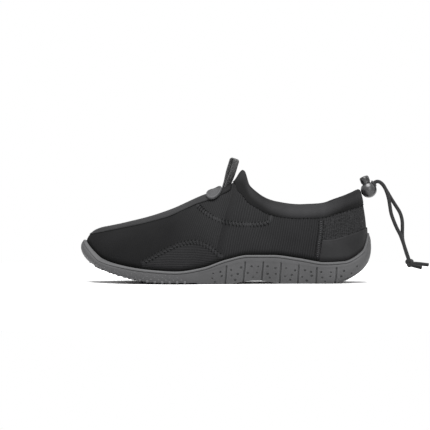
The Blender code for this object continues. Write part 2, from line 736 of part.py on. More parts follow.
def make_loop(finish, collection):
    """A webbing loop that stands at the throat; its two legs nearly touch."""
    base = skin(MEDIAL, LOOP_STATION, 1, PANEL_TOP + SEAT_GAP)
    lean = Vector((sin(radians(17)), 0, cos(radians(17))))
    spin = Matrix.Rotation(radians(-35), 3, lean)
    across = spin @ Vector((cos(radians(17)), 0, -sin(radians(17))))
    width = spin @ Vector((0, 1, 0)) * LOOP_WIDTH / 2
    half = LOOP_HOLE / 2 + LOOP_THICK / 2
    arc = 8
    middle = []
    for share in (0.0, 0.12, 0.35, 0.62, 0.86):
        swell = 0.55 + 0.45 * sin(pi / 2 * min(share / 0.6, 1))
        middle.append((-half * swell, share * (LOOP_HEIGHT - half)))
    for k in range(1, arc):
        angle = pi * k / arc
        middle.append((-half * cos(angle), LOOP_HEIGHT - half + half * sin(angle)))
    middle += [(-x, y) for x, y in middle[:5][::-1]]
    build = bmesh.new()
    rows = []
    for k, (x, y) in enumerate(middle):
        before, after = middle[max(k - 1, 0)], middle[min(k + 1, len(middle) - 1)]
        run = Vector((after[0] - before[0], after[1] - before[1])).normalized()
        side = Vector((-run.y, run.x)) * LOOP_THICK / 2
        point = base + lean * (0.0018 + y) + across * x
        shift = across * side.x + lean * side.y
        rows.append([point + shift + width, point + shift - width,
                     point - shift - width, point - shift + width])
    made = add_grid(build, rows, closed=True)
    build.faces.new(made[0])
    build.faces.new(made[-1][::-1])
    bmesh.ops.recalc_face_normals(build, faces=build.faces)
    add_mesh("pull_loop", build, finish, collection)


# Cord and cord lock

def lock_axis():
    return Vector((-sin(LOCK_TILT), 0, cos(LOCK_TILT)))


def lock_centre():
    """The lock rests against the back of the binding, in line with the heel."""
    level = 0.95
    return skin(MEDIAL, 0, level, BAND[3][1] * BINDING_WALL + SEAT_GAP + LOCK_RADIUS)


def turned(name, profile, segments, finish, collection):
    """A turned piece on the lock's axis, from radius and height pairs, top to bottom."""
    build = bmesh.new()
    verts = [build.verts.new((radius, 0, height)) for radius, height in profile]
    for near, far in zip(verts, verts[1:]):
        build.edges.new((near, far))
    made = add_mesh(name, build, finish, collection)
    screw = made.modifiers.new("turn", "SCREW")
    screw.steps = segments
    screw.render_steps = segments
    screw.use_merge_vertices = True
    screw.merge_threshold = 1e-5
    made.location = lock_centre()
    made.rotation_euler = (0, -LOCK_TILT, 0)
    return made


def make_lock(finish, collection):
    """A round body, bored for the plunger."""
    bore = BUTTON_CAP_RADIUS + BUTTON_CLEAR
    floor = -0.0023
    start = sqrt(LOCK_RADIUS ** 2 - bore ** 2)
    profile = [(0, floor), (bore, floor), (bore, start)]
    rings = 9
    for k in range(1, rings + 1):
        angle = asin(start / LOCK_RADIUS) * (1 - k / rings) - pi / 2 * k / rings
        profile.append((LOCK_RADIUS * cos(angle), LOCK_RADIUS * sin(angle)))
    profile[-1] = (0, -LOCK_RADIUS)
    turned("cord_lock", profile, 20, finish, collection)


def make_button(finish, collection):
    """The sprung plunger: a neck in the bore under a domed cap."""
    cap = BUTTON_CAP_RADIUS
    profile = [(0, BUTTON_TOP), (cap * 0.6, BUTTON_TOP - 0.0002), (cap * 0.9, BUTTON_TOP - 0.0010),
               (cap, BUTTON_TOP - 0.0022), (cap, BUTTON_CAP_LIFT + 0.0004),
               (cap - 0.0004, BUTTON_CAP_LIFT), (BUTTON_RADIUS, BUTTON_CAP_LIFT),
               (BUTTON_RADIUS, BUTTON_TRAVEL - 0.0015), (0, BUTTON_TRAVEL - 0.0015)]
    turned("lock_button", profile, 18, finish, collection)


def smooth_route(points, pace):
    """Points about a pace apart on a smooth curve through a route's own points."""
    route = [Vector(point) for point in points]
    route = [2 * route[0] - route[1]] + route + [2 * route[-1] - route[-2]]
    result = []
    for a, b, c, d in zip(route, route[1:], route[2:], route[3:]):
        steps = max(1, round((c - b).length / pace))
        for k in range(steps):
            s = k / steps
            result.append(0.5 * ((2 * b) + (c - a) * s + (2 * a - 5 * b + 4 * c - d) * s * s
                                 + (3 * b - a - 3 * c + d) * s ** 3))
    return result + [route[-2]]


def make_cord(name, points, finish, collection):
    """A round cord along a route."""
    curve = bpy.data.curves.new(name, "CURVE")
    curve.dimensions = "3D"
    curve.bevel_depth = CORD_DIAMETER / 2
    curve.bevel_resolution = 2
    curve.render_resolution_u = 0
    curve.use_fill_caps = True
    route = smooth_route(points, 2.5 * CORD_DIAMETER)
    spline = curve.splines.new("POLY")
    spline.points.add(len(route) - 1)
    for spot, point in zip(spline.points, route):
        spot.co = (*point, 1)
    made = bpy.data.objects.new(name, curve)
    curve.materials.append(finish)
    collection.objects.link(made)


def make_knot(finish, collection):
    build = bmesh.new()
    scale = Matrix.Diagonal((*KNOT_SIZE, 1))
    bmesh.ops.create_uvsphere(build, u_segments=14, v_segments=8, radius=1,
                              matrix=Matrix.Translation(KNOT_CENTRE) @ scale)
    add_mesh("cord_knot", build, finish, collection)


def make_shoe():
    for old in list(bpy.data.objects):
        bpy.data.objects.remove(old)
    shoe = bpy.data.collections.new("water_shoe")
    bpy.context.scene.collection.children.link(shoe)
    neoprene = material("neoprene", (0.012, 0.012, 0.013), 0.8)
    binding = material("binding", (0.02, 0.02, 0.021), 0.6)
    mesh_panel = material("mesh_panel", (0.06, 0.06, 0.062), 0.7)
    rubber = material("rubber", (0.1, 0.1, 0.102), 0.65)
    foam = material("foam", (0.03, 0.03, 0.03), 0.9)
    webbing = material("webbing", (0.025, 0.025, 0.026), 0.8)
    plastic = material("plastic", (0.03, 0.03, 0.032), 0.35)
    cord = material("cord", (0.01, 0.01, 0.01), 0.75)
    make_outsole(rubber, shoe)
    make_upper(neoprene, shoe)
    make_insole(foam, shoe)
    make_binding(binding, shoe)
    make_panel(mesh_panel, shoe)
    make_counter(neoprene, shoe)
    make_badge(rubber, shoe)
    make_loop(webbing, shoe)
    make_lock(plastic, shoe)
    make_button(plastic, shoe)
    make_cord("cord_strand_a", STRAND_A, cord, shoe)
    make_cord("cord_strand_b", STRAND_B, cord, shoe)
    make_cord("cord_tail_a", TAIL_A, cord, shoe)
    make_cord("cord_tail_b", TAIL_B, cord, shoe)
    make_knot(cord, shoe)


make_shoe()
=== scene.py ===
"""Water shoe, left foot, dressed for its picture.

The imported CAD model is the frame. The pieces are the drawcord, the upper with its binding,
stitches and panel, the sole and insole, the heel counter, badge, loop and cord lock. Metres, +Z up,
toe to -X.
"""

from functools import lru_cache
from math import asin, cos, pi, radians, sin, sqrt

import bmesh
import bpy
from mathutils import Matrix, Vector
from mathutils.kdtree import KDTree


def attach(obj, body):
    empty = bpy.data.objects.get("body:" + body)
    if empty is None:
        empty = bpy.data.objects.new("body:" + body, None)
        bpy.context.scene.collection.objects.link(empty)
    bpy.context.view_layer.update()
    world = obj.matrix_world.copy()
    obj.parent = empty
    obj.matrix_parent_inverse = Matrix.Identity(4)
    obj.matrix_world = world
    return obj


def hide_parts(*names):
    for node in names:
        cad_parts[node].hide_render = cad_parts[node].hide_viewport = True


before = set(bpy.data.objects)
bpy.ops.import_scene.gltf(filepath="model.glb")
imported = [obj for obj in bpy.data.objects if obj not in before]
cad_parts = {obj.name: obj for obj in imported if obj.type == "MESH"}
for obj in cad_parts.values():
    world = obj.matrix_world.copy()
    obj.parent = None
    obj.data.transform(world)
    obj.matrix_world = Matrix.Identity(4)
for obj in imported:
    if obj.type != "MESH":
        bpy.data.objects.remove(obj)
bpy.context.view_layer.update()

# Camera
# The photograph looks straight at the outer side of the left shoe, from far enough away that there
# is almost no perspective. Its frame is 0.425 m wide at the middle of the shoe.
VIEW_TARGET = Vector((-0.1078, 0, 0.0667))
VIEW_DISTANCE = 3.0
VIEW_WIDTH = 0.4248
VIEW_LIFT = radians(1.2)


def put(name, data):
    """An object of some data, linked into the scene."""
    made = bpy.data.objects.new(name, data)
    bpy.context.collection.objects.link(made)
    return made


camera_data = bpy.data.cameras.new("camera")
camera_data.lens = camera_data.sensor_width / (VIEW_WIDTH / VIEW_DISTANCE)
camera = put("camera", camera_data)
camera.location = VIEW_TARGET + VIEW_DISTANCE * Vector((0, -cos(VIEW_LIFT), sin(VIEW_LIFT)))
camera.rotation_euler = (pi / 2 - VIEW_LIFT, 0, 0)
bpy.context.scene.camera = camera

# Drawcord
# A round braided polyester cord, black. Its two strands come out of the cord lock, hang down behind
# the heel and are tied together in an overhand knot with two short ends.
CORD_DIAMETER = 0.0036
STRAND_A = ((0.0491, -0.0020, 0.0978), (0.0507, -0.0020, 0.0993), (0.0533, -0.0020, 0.0998),
            (0.0563, -0.0020, 0.0983), (0.0590, -0.0020, 0.0952), (0.0618, -0.0021, 0.0891),
            (0.0637, -0.0022, 0.0825), (0.0648, -0.0023, 0.0759), (0.0661, -0.0023, 0.0683),
            (0.0687, -0.0022, 0.0608), (0.0720, -0.0021, 0.0532), (0.0750, -0.0020, 0.0475),
            (0.0773, -0.0020, 0.0415), (0.0804, -0.0020, 0.0324), (0.0832, -0.0020, 0.0240))
STRAND_B = ((0.0491, 0.0020, 0.0978), (0.0507, 0.0020, 0.0993), (0.0533, 0.0020, 0.0998),
            (0.0563, 0.0020, 0.0983), (0.0590, 0.0020, 0.0952), (0.0626, 0.0021, 0.0893),
            (0.0667, 0.0022, 0.0823), (0.0708, 0.0023, 0.0759), (0.0750, 0.0023, 0.0690),
            (0.0771, 0.0022, 0.0620), (0.0775, 0.0021, 0.0546), (0.0774, 0.0020, 0.0480),
            (0.0779, 0.0020, 0.0417), (0.0804, 0.0020, 0.0324), (0.0832, 0.0020, 0.0240))
TAIL_A = ((0.0884, -0.0017, 0.0189), (0.0940, -0.0022, 0.0185), (0.0990, -0.0022, 0.0179),
          (0.1035, -0.0022, 0.0174))
TAIL_B = ((0.0881, 0.0021, 0.0166), (0.0920, 0.0024, 0.0156), (0.0970, 0.0026, 0.0143))
KNOT_CENTRE = Vector((0.0844, 0.0, 0.0195))
KNOT_LOOP = 0.00088
KNOT_DEPTH = 0.0016
KNOT_STEPS = 96
LOCK_MOUTH = (0.0470, 0.0, 0.0958)
CORD_PACE = CORD_DIAMETER * 0.4
CORD_SIDES = 16
TUBE_END = ((0.0, 0.25), (0.06, 0.75), (0.3, 1.0))
CORD_COLOUR = (0.0045, 0.0045, 0.0048)
BRAID_PITCH = 0.0030
BRAID_YARNS = 4


class Finish:
    """A procedural material in the making: its nodes are added and linked by short calls."""

    def __init__(self, name, colour, roughness, **shader):
        self.colour = colour
        self.made = bpy.data.materials.new(name)
        self.made.use_nodes = True
        self.tree = self.made.node_tree
        self.shader = self.tree.nodes["Principled BSDF"]
        self.shader.inputs["Base Color"].default_value = (*colour, 1)
        self.shader.inputs["Roughness"].default_value = roughness
        for socket, value in shader.items():
            self.shader.inputs[socket.replace("_", " ")].default_value = value

    def add(self, kind, output=0, **inputs):
        """A node of a kind; an input is another node's output or a value. Returns an output."""
        node = self.tree.nodes.new("ShaderNode" + kind)
        for name, value in inputs.items():
            linked = isinstance(value, bpy.types.NodeSocket)
            if hasattr(node, name) and not linked:
                setattr(node, name, value)
                continue
            numbered = name.startswith("input")
            socket = node.inputs[int(name[5:]) if numbered else name.replace("_", " ")]
            if linked:
                self.tree.links.new(value, socket)
            else:
                socket.default_value = value
        return node.outputs[output]

    def math(self, operation, first, second):
        return self.add("Math", operation=operation, input0=first, input1=second)

    def times(self, first, second):
        return self.math("MULTIPLY", first, second)

    def plus(self, first, second):
        return self.math("ADD", first, second)

    def less(self, first, second):
        return self.math("SUBTRACT", first, second)

    def wave(self, value, pitch):
        """A sine, once over each pitch of a value."""
        return self.math("SINE", self.times(value, 2 * pi / pitch), 0.0)

    def lifted(self, wave):
        """A wave brought from -1 to 1 to 0 to 1; the node adds 0.5 by itself."""
        return self.math("MULTIPLY_ADD", wave, 0.5)

    def place(self, source="Object"):
        return self.add("TexCoord", source)

    def flat(self):
        """Both directions of the texture places."""
        return self.add("SeparateXYZ", Vector=self.place("UV")).node.outputs[:2]

    def field(self, name):
        """A value that the mesh holds at its points."""
        return self.add("Attribute", 2, attribute_name=name)

    def noise(self, scale, detail=2.0, rough=0.5):
        return self.add("TexNoise", Vector=self.place(), Scale=scale, Detail=detail,
                        Roughness=rough)

    def cells(self, scale):
        return self.add("TexVoronoi", Vector=self.place(), Scale=scale)

    def ramp(self, value, low, high, dark, light):
        """The colour times dark to light, as a value runs from low to high."""
        shades = self.add("ValToRGB", input0=value)
        for k, position, share in ((0, low, dark), (1, high, light)):
            stop = shades.node.color_ramp.elements[k]
            stop.position = position
            stop.color = (*(c * share for c in self.colour), 1)
        return shades

    def paint(self, colour):
        self.tree.links.new(colour, self.shader.inputs["Base Color"])

    def gloss(self, value, low, high):
        """Roughness that runs from low to high with a value from 0 to 1."""
        spread = self.add("MapRange", Value=value, To_Min=low, To_Max=high)
        self.tree.links.new(spread, self.shader.inputs["Roughness"])

    def bump(self, height, distance, strength=1.0, **under):
        """A relief of a height in metres, over another one given as Normal."""
        relief = self.add("Bump", Height=height, Distance=distance, Strength=strength, **under)
        self.tree.links.new(relief, self.shader.inputs["Normal"])
        return relief


def curve_point(a, b, c, d, s):
    """A point between b and c on the smooth curve through four points; s runs from 0 to 1."""
    return 0.5 * ((2 * b) + (c - a) * s + (2 * a - 5 * b + 4 * c - d) * s * s
                  + (3 * b - a - 3 * c + d) * s ** 3)


def smooth_route(points, pace):
    """Points about a pace apart on a smooth curve through a route's own points."""
    route = [Vector(point) for point in points]
    route = [2 * route[0] - route[1]] + route + [2 * route[-1] - route[-2]]
    result = []
    for a, b, c, d in zip(route, route[1:], route[2:], route[3:]):
        steps = max(1, round((c - b).length / pace))
        result += [curve_point(a, b, c, d, k / steps) for k in range(steps)]
    return result + [route[-2]]


def run_length(points):
    return sum((b - a).length for a, b in zip(points, points[1:]))


def keep_mesh(name, build, finish, sharp=40):
    """A piece from a bmesh, smooth but for its sharp edges."""
    mesh = bpy.data.meshes.new(name)
    build.to_mesh(mesh)
    build.free()
    mesh.shade_smooth()
    mesh.set_sharp_from_angle(angle=radians(sharp))
    mesh.materials.append(finish)
    return put(name, mesh)


def circle(count):
    """Cosine and sine of evenly spaced turns."""
    return [(cos(2 * pi * m / count), sin(2 * pi * m / count)) for m in range(count)]


def add_faces(build, rows, closed=True, flip=False, places=None, ring=False, capped=False):
    """Faces between rows of points. closed joins each row's end to its start, ring joins the last
    row to the first, capped closes both ends, and places holds the rows' texture places."""
    layer = build.loops.layers.uv.verify()
    made = [[build.verts.new(point) for point in row] for row in rows]
    count, width = len(rows), len(rows[0])
    for k in range(count if ring else count - 1):
        for m in range(width if closed else width - 1):
            after = (m + 1) % width
            corners = [(k, m), (k, after), (k + 1, after), (k + 1, m)]
            if flip:
                corners.reverse()
            face = build.faces.new([made[a % count][b] for a, b in corners])
            if places:
                for loop, (a, b) in zip(face.loops, corners):
                    loop[layer].uv = places[min(a, count - 1)][b]
    if capped:
        build.faces.new(made[0][::-1])
        build.faces.new(made[-1])


def weld(build, near=0.0, thin=0.0, fill=False):
    """Joins points that lie near each other, takes out thin faces, fills holes and turns all faces
    outward."""
    if near:
        bmesh.ops.remove_doubles(build, verts=build.verts, dist=near)
    if thin:
        bmesh.ops.dissolve_degenerate(build, edges=build.edges, dist=thin)
    if fill:
        bmesh.ops.holes_fill(build, edges=[e for e in build.edges if e.is_boundary], sides=0)
    bmesh.ops.recalc_face_normals(build, faces=build.faces)


def tube(name, route, radius, around, finish, ring=False):
    """A round cord along a route, with softly closed ends; its texture runs in metres."""
    build = bmesh.new()
    rows, places = [], []
    walked, last = 0.0, len(route) - 1
    lift = Vector((0, 1, 0))
    for k, point in enumerate(route):
        before = route[k - 1] if ring or k else point
        after = route[(k + 1) % len(route)] if ring or k < last else point
        run = (after - before).normalized()
        lift = (lift - run * lift.dot(run)).normalized()
        side = run.cross(lift)
        walked += (point - route[k - 1]).length if k else 0
        sizes = [(point, radius)]
        if not ring and k in (0, last):
            sizes = [(point + run * radius * (-far if k else far), radius * share)
                     for far, share in (TUBE_END[::-1] if k else TUBE_END)]
        for centre, size in sizes:
            rows.append([centre + (lift * c + side * s) * size for c, s in circle(around)])
            places.append([(2 * pi * radius * m / around, walked) for m in range(around)])
    add_faces(build, rows, places=places, ring=ring, capped=not ring)
    weld(build)
    return keep_mesh(name, build, finish)


def braid_finish(name, colour):
    """Braided cord: two crossing helices of yarn."""
    finish = Finish(name, colour, 0.7, Specular_IOR_Level=0.2, Sheen_Weight=0.04)
    around, along = finish.flat()
    lead = BRAID_PITCH / (pi * CORD_DIAMETER)
    yarns = [finish.wave(finish.plus(along, finish.times(around, sense * lead)),
                         BRAID_PITCH / BRAID_YARNS) for sense in (-1, 1)]
    height = finish.math("MAXIMUM", *yarns)
    finish.bump(height, 0.00012)
    finish.paint(finish.ramp(finish.lifted(height), 0.0, 1.0, 0.6, 1.7))
    return finish.made


cord_finish = braid_finish("braided_cord", CORD_COLOUR)
# Each cord runs on for 2 to 3 mm inside the lock and the knot, so no cut end shows there.
route_a = smooth_route([LOCK_MOUTH, *STRAND_A, (0.0840, -0.0012, 0.0212)], CORD_PACE)
route_b = smooth_route([LOCK_MOUTH, *STRAND_B, (0.0840, 0.0012, 0.0212)], CORD_PACE)
route_tail_a = smooth_route([(0.0858, -0.0010, 0.0192), *TAIL_A], CORD_PACE)
route_tail_b = smooth_route([(0.0856, 0.0012, 0.0176), *TAIL_B], CORD_PACE)
strand_a = tube("drawcord_a", route_a, CORD_DIAMETER / 2, CORD_SIDES, cord_finish)
strand_b = tube("drawcord_b", route_b, CORD_DIAMETER / 2, CORD_SIDES, cord_finish)
tail_a = tube("drawcord_end_a", route_tail_a, CORD_DIAMETER / 2, CORD_SIDES, cord_finish)
tail_b = tube("drawcord_end_b", route_tail_b, CORD_DIAMETER / 2, CORD_SIDES, cord_finish)

# The overhand knot pulls up into a small trefoil of the same cord.
knot_route = []
for k in range(KNOT_STEPS):
    turn = 2 * pi * k / KNOT_STEPS
    knot_route.append(KNOT_CENTRE + Vector((KNOT_LOOP * (sin(turn) + 2 * sin(2 * turn)),
                                            KNOT_DEPTH * -sin(3 * turn),
                                            KNOT_LOOP * 1.12 * (cos(turn) - 2 * cos(2 * turn)))))
knot = tube("drawcord_knot", knot_route, CORD_DIAMETER / 2, 14, cord_finish, ring=True)

for piece, node in ((strand_a, "cord_strand_a"), (strand_b, "cord_strand_b"), (knot, "cord_knot"),
                    (tail_a, "cord_tail_a"), (tail_b, "cord_tail_b")):
    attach(piece, "shoe")
    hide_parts(node)
run_length(route_a)
[tuple(p) for p in route_a]
run_length(route_b)
[tuple(p) for p in route_b]

# Upper
# One stretch shell of black neoprene faced with jersey, sewn from flat panels: a smooth vamp, a
# ribbed quarter, an inset beside the ball of the foot and a coarse heel piece. Its form is that of
# the last, in sections from the feather line to the collar or the ridge of the instep.
SOLE_LENGTH = 0.288
BALL_WIDTH = 0.100
HEEL_WIDTH = 0.074
INSTEP_HEIGHT = 0.1108
HEEL_HEIGHT = 0.0926
COLLAR_WIDTH = 0.060
HEEL_STACK = 0.013
HEEL_REST = 0.047
SEAT_GAP = 0.0003
THROAT = 7.0
BAND_END = 7.5
TOE = 13.0
LATERAL = -1
MEDIAL = 1
UPPER_WALL = 0.0026
BINDING_WIDTH = 0.0130
NEOPRENE_COLOUR = (0.0054, 0.0054, 0.0056)
THREAD_COLOUR = (0.0012, 0.0012, 0.0013)
SEAM_LIFT = 0.00042
SEAM_HALF = 0.0026
HEEL_SEAM_HALF = 0.0022
SEAM_PACE = 0.0007
SEAM_TRENCH = 0.00030
HEEL_SEAM_LIFT = 0.00035
BAND_TRENCH = 0.0004
BAND_TRENCH_HALF = 0.0018
RIB_END = 0.205
RIB_FADE = 0.05
RIB_LEAST = 0.12
CLOTH_EDGE = 0.001
RIB_PITCH = 0.0023
INSET_PITCH = 0.0017
CLOTH_FIELDS = ("ribbed", "inset", "coarse", "shade")
SHEET_WELD = 2e-6
SHEET_THIN = 1e-6

# Form of the last: the feather line and the curve of the wall above it.
# along is a share of SOLE_LENGTH; lateral and medial half widths, flare and reach are shares of the
# local breadth, which runs from HEEL_WIDTH to BALL_WIDTH by the column forefoot; middle is a share
# of BALL_WIDTH; feather is a share of HEEL_STACK; rise and drop are shares of the local height.
FORM_COLUMNS = ("station", "along", "lateral", "medial", "forefoot", "middle", "feather",
                "flare", "rise", "reach", "drop")
FORM = (
    (0.0, 0.059, 0.000, 0.000, 0.00, 0.00, 1.00, 0.257, 0.12, 0.085, 0.260),
    (1.0, 0.070, 0.189, 0.189, 0.00, 0.00, 1.00, 0.230, 0.13, 0.085, 0.270),
    (2.0, 0.108, 0.338, 0.331, 0.00, 0.00, 1.00, 0.160, 0.18, 0.090, 0.300),
    (3.0, 0.170, 0.405, 0.392, 0.00, 0.00, 1.00, 0.120, 0.25, 0.080, 0.320),
    (4.0, 0.260, 0.418, 0.379, 0.05, 0.00, 0.97, 0.100, 0.32, 0.060, 0.330),
    (5.0, 0.347, 0.423, 0.335, 0.20, 0.00, 0.93, 0.090, 0.36, 0.060, 0.330),
    (6.0, 0.431, 0.438, 0.320, 0.42, 0.00, 0.87, 0.083, 0.38, 0.090, 0.270),
    (6.6, 0.476, 0.447, 0.330, 0.55, 0.00, 0.82, 0.083, 0.38, 0.140, 0.120),
    (7.0, 0.507, 0.456, 0.342, 0.64, 0.00, 0.79, 0.083, 0.36, 0.170, 0.000),
    (7.5, 0.545, 0.469, 0.365, 0.74, 0.00, 0.75, 0.084, 0.36, 0.185, 0.000),
    (8.0, 0.583, 0.483, 0.390, 0.82, 0.00, 0.70, 0.084, 0.38, 0.200, 0.000),
    (9.0, 0.670, 0.500, 0.420, 1.00, 0.01, 0.65, 0.080, 0.40, 0.250, 0.010),
    (10.0, 0.760, 0.485, 0.415, 1.00, 0.03, 0.69, 0.080, 0.40, 0.290, 0.035),
    (11.0, 0.844, 0.415, 0.345, 1.00, 0.06, 0.88, 0.090, 0.40, 0.290, 0.060),
    (12.0, 0.906, 0.262, 0.225, 1.00, 0.08, 1.18, 0.120, 0.38, 0.270, 0.100),
    (13.0, 0.941, 0.000, 0.000, 1.00, 0.09, 1.42, 0.170, 0.34, 0.250, 0.105),
)

# Top edge: the collar up to station 7, then the ridge of the instep and toes.
# along is a share of SOLE_LENGTH; heel and instep are shares of HEEL_HEIGHT and INSTEP_HEIGHT,
# added; opening is a share of COLLAR_WIDTH; band is a share of BINDING_WIDTH; panel is a share of
# PANEL_WIDTH; counter is a share of COUNTER_HEIGHT.
TOP_COLUMNS = ("station", "along", "heel", "instep", "opening", "band", "panel", "counter")
TOP = (
    (0.0, 0.043, 1.000, 0.000, 0.000, 1.08, 0.26, 1.000),
    (1.0, 0.052, 0.985, 0.000, 0.220, 1.07, 0.26, 0.965),
    (2.0, 0.090, 0.932, 0.000, 0.385, 1.02, 0.26, 0.870),
    (3.0, 0.146, 0.867, 0.000, 0.460, 0.98, 0.26, 0.790),
    (4.0, 0.233, 0.700, 0.112, 0.500, 0.92, 0.26, 0.790),
    (5.0, 0.313, 0.500, 0.298, 0.475, 0.97, 0.26, 0.790),
    (6.0, 0.382, 0.200, 0.618, 0.360, 1.02, 0.26, 0.790),
    (6.6, 0.422, 0.070, 0.826, 0.175, 1.23, 0.26, 0.790),
    (7.0, 0.442, 0.000, 1.000, 0.000, 1.55, 0.26, 0.790),
    (7.5, 0.477, 0.000, 0.889, 0.000, 0.00, 0.28, 0.790),
    (8.0, 0.510, 0.000, 0.838, 0.000, 0.00, 0.33, 0.790),
    (9.0, 0.590, 0.000, 0.755, 0.000, 0.00, 0.41, 0.790),
    (10.0, 0.684, 0.000, 0.645, 0.000, 0.00, 0.50, 0.790),
    (11.0, 0.771, 0.000, 0.570, 0.000, 0.00, 0.48, 0.790),
    (12.0, 0.854, 0.000, 0.520, 0.000, 0.00, 0.43, 0.790),
    (13.0, 0.910, 0.000, 0.496, 0.000, 0.00, 0.41, 0.790),
)


@lru_cache(maxsize=None)
def slopes(table, index):
    """Slope of one column at each row, so that the curve through the rows never overshoots.
    A column levels off at the heel and the toe, unless it crosses the middle plane there."""
    places = [row[0] for row in table]
    values = [row[index] for row in table]
    gaps = [b - a for a, b in zip(places, places[1:])]
    rates = [(b - a) / gap for a, b, gap in zip(values, values[1:], gaps)]
    first = ((2 * gaps[0] + gaps[1]) * rates[0] - gaps[0] * rates[1]) / (gaps[0] + gaps[1])
    result = [0.0 if values[0] else first]
    for left, right, near, far in zip(gaps, gaps[1:], rates, rates[1:]):
        if near * far <= 0:
            result.append(0.0)
        else:
            heavy, light = 2 * right + left, right + 2 * left
            result.append((heavy + light) / (heavy / near + light / far))
    last = ((2 * gaps[-1] + gaps[-2]) * rates[-1] - gaps[-1] * rates[-2]) / (gaps[-1] + gaps[-2])
    return tuple(result + [0.0 if values[-1] else last])


def read(table, columns, name, station):
    """Value of a table's column at a station, on a smooth curve through its rows."""
    index = columns.index(name)
    slope = slopes(table, index)
    row = 0
    while row < len(table) - 2 and station > table[row + 1][0]:
        row += 1
    start, end = table[row], table[row + 1]
    gap = end[0] - start[0]
    s = (station - start[0]) / gap
    return ((1 + 2 * s) * (1 - s) ** 2 * start[index] + s * (1 - s) ** 2 * gap * slope[row]
            + s * s * (3 - 2 * s) * end[index] + s * s * (s - 1) * gap * slope[row + 1])


def form(name, station):
    return read(FORM, FORM_COLUMNS, name, station)


def top(name, station):
    return read(TOP, TOP_COLUMNS, name, station)


def place(along, across, height):
    """A point from its distance from the back of the heel, its offset and its height."""
    return Vector((HEEL_REST - along, across, height))


def breadth(station):
    return HEEL_WIDTH + (BALL_WIDTH - HEEL_WIDTH) * form("forefoot", station)


def top_height(station):
    return HEEL_HEIGHT * top("heel", station) + INSTEP_HEIGHT * top("instep", station)


@lru_cache(maxsize=None)
def feather_point(side, station):
    """A point of the line where the upper meets the sole."""
    half = form("lateral" if side == LATERAL else "medial", station) * breadth(station)
    middle = form("middle", station) * BALL_WIDTH
    return place(form("along", station) * SOLE_LENGTH, middle + side * half,
                 form("feather", station) * HEEL_STACK)


@lru_cache(maxsize=None)
def outward(side, station):
    """Level direction that points away from the shoe at a station of the feather line."""
    if station <= 0:
        return Vector((1, 0, 0))
    if station >= TOE:
        return Vector((-1, 0, 0))
    step = min(0.05, station, TOE - station)
    run = feather_point(side, station + step) - feather_point(side, station - step)
    return Vector((side * run.y, -side * run.x, 0)).normalized()


@lru_cache(maxsize=None)
def ribs(side, station):
    """The four control points of the upper's curve at a station, from the feather line up."""
    foot = feather_point(side, station)
    level = form("middle", station) * BALL_WIDTH + side * top("opening", station) * COLLAR_WIDTH
    crown = place(top("along", station) * SOLE_LENGTH, level, top_height(station))
    height = crown.z - foot.z
    out = outward(side, station) * breadth(station)
    lower = foot + out * form("flare", station) + Vector((0, 0, height * form("rise", station)))
    upper = crown + out * form("reach", station) - Vector((0, 0, height * form("drop", station)))
    return foot, lower, upper, crown


def bezier(start, first, second, end, s):
    """A point of the curve through four control points; s runs from 0 to 1."""
    rest = 1 - s
    return (start * rest ** 3 + first * (3 * s * rest ** 2)
            + second * (3 * s ** 2 * rest) + end * s ** 3)


def skin_point(side, station, level):
    """A point of the upper's outer face: level runs from 0 at the feather line to 1 at the top.
    Past the heel, the toe and the ridge the face goes on as the other side's."""
    if station < 0:
        side, station = -side, -station
    if station > TOE:
        side, station = -side, 2 * TOE - station
    if level > 1 and station >= THROAT:
        side, level = -side, 2 - level
    return bezier(*ribs(side, station), level)


def skin_normal(side, station, level):
    """Outward normal of the upper's outer face."""
    step = 0.02
    if station > TOE - step and level > 1 - step:
        return skin_normal(side, TOE - 10 * step, level)
    back = max(station - step, THROAT) if station >= THROAT else station - step
    ahead = min(station + step, THROAT) if station < THROAT else station + step
    along = skin_point(side, ahead, level) - skin_point(side, back, level)
    up = skin_point(side, station, level + step) - skin_point(side, station, level - step)
    return (up.cross(along) * -side).normalized()


def skin(side, station, level, out=0.0):
    """A point at a distance outside the upper's outer face."""
    point = skin_point(side, station, level)
    if out:
        point = point + skin_normal(side, station, level) * out
    return point


def bisect(low, high, rounds, short):
    """Where a growing value is no longer short, between low and high."""
    for _ in range(rounds):
        middle = (low + high) / 2
        if short(middle):
            low = middle
        else:
            high = middle
    return high


def level_at(side, station, height):
    """Level at which the upper's face reaches a height above the floor."""
    return bisect(0.0, 1.0, 30, lambda level: skin_point(side, station, level).z < height)


def level_below_top(side, station, distance):
    """Level that lies a distance along the face below its top."""
    steps = 60
    walked = 0.0
    above = skin_point(side, station, 1.0)
    for count in range(1, steps + 1):
        level = 1 - count / steps
        point = skin_point(side, station, level)
        step = (point - above).length
        if walked + step >= distance:
            return level + (walked + step - distance) / step / steps
        walked += step
        above = point
    return 0.0


def seam_level(side, station, rise=0.0):
    """Level of the seam under the collar binding, or the top where there is no binding.
    rise lifts it by a distance."""
    if station >= BAND_END:
        return 1.0
    drop = top("band", station) * BINDING_WIDTH - rise
    return level_at(side, station, top_height(station) - drop)


def on_face(side, spots):
    """Point and normal of the face at each station and level."""
    return [(skin_point(side, s, level), skin_normal(side, s, level)) for s, level in spots]


def face_spot(side, along, height):
    """Station and level of the upper's face at a place seen from the side."""
    station = bisect(0.05, TOE - 0.05, 34, lambda s: skin_point(
        side, s, level_at(side, s, height)).x > HEEL_REST - along)
    return station, level_at(side, station, height)


def face_line(side, points, pace):
    """Point and normal at evenly paced spots of a line on the face."""
    route = smooth_route([(along, height, 0) for along, height in points], pace)
    return on_face(side, [face_spot(side, p.x, p.y) for p in route])


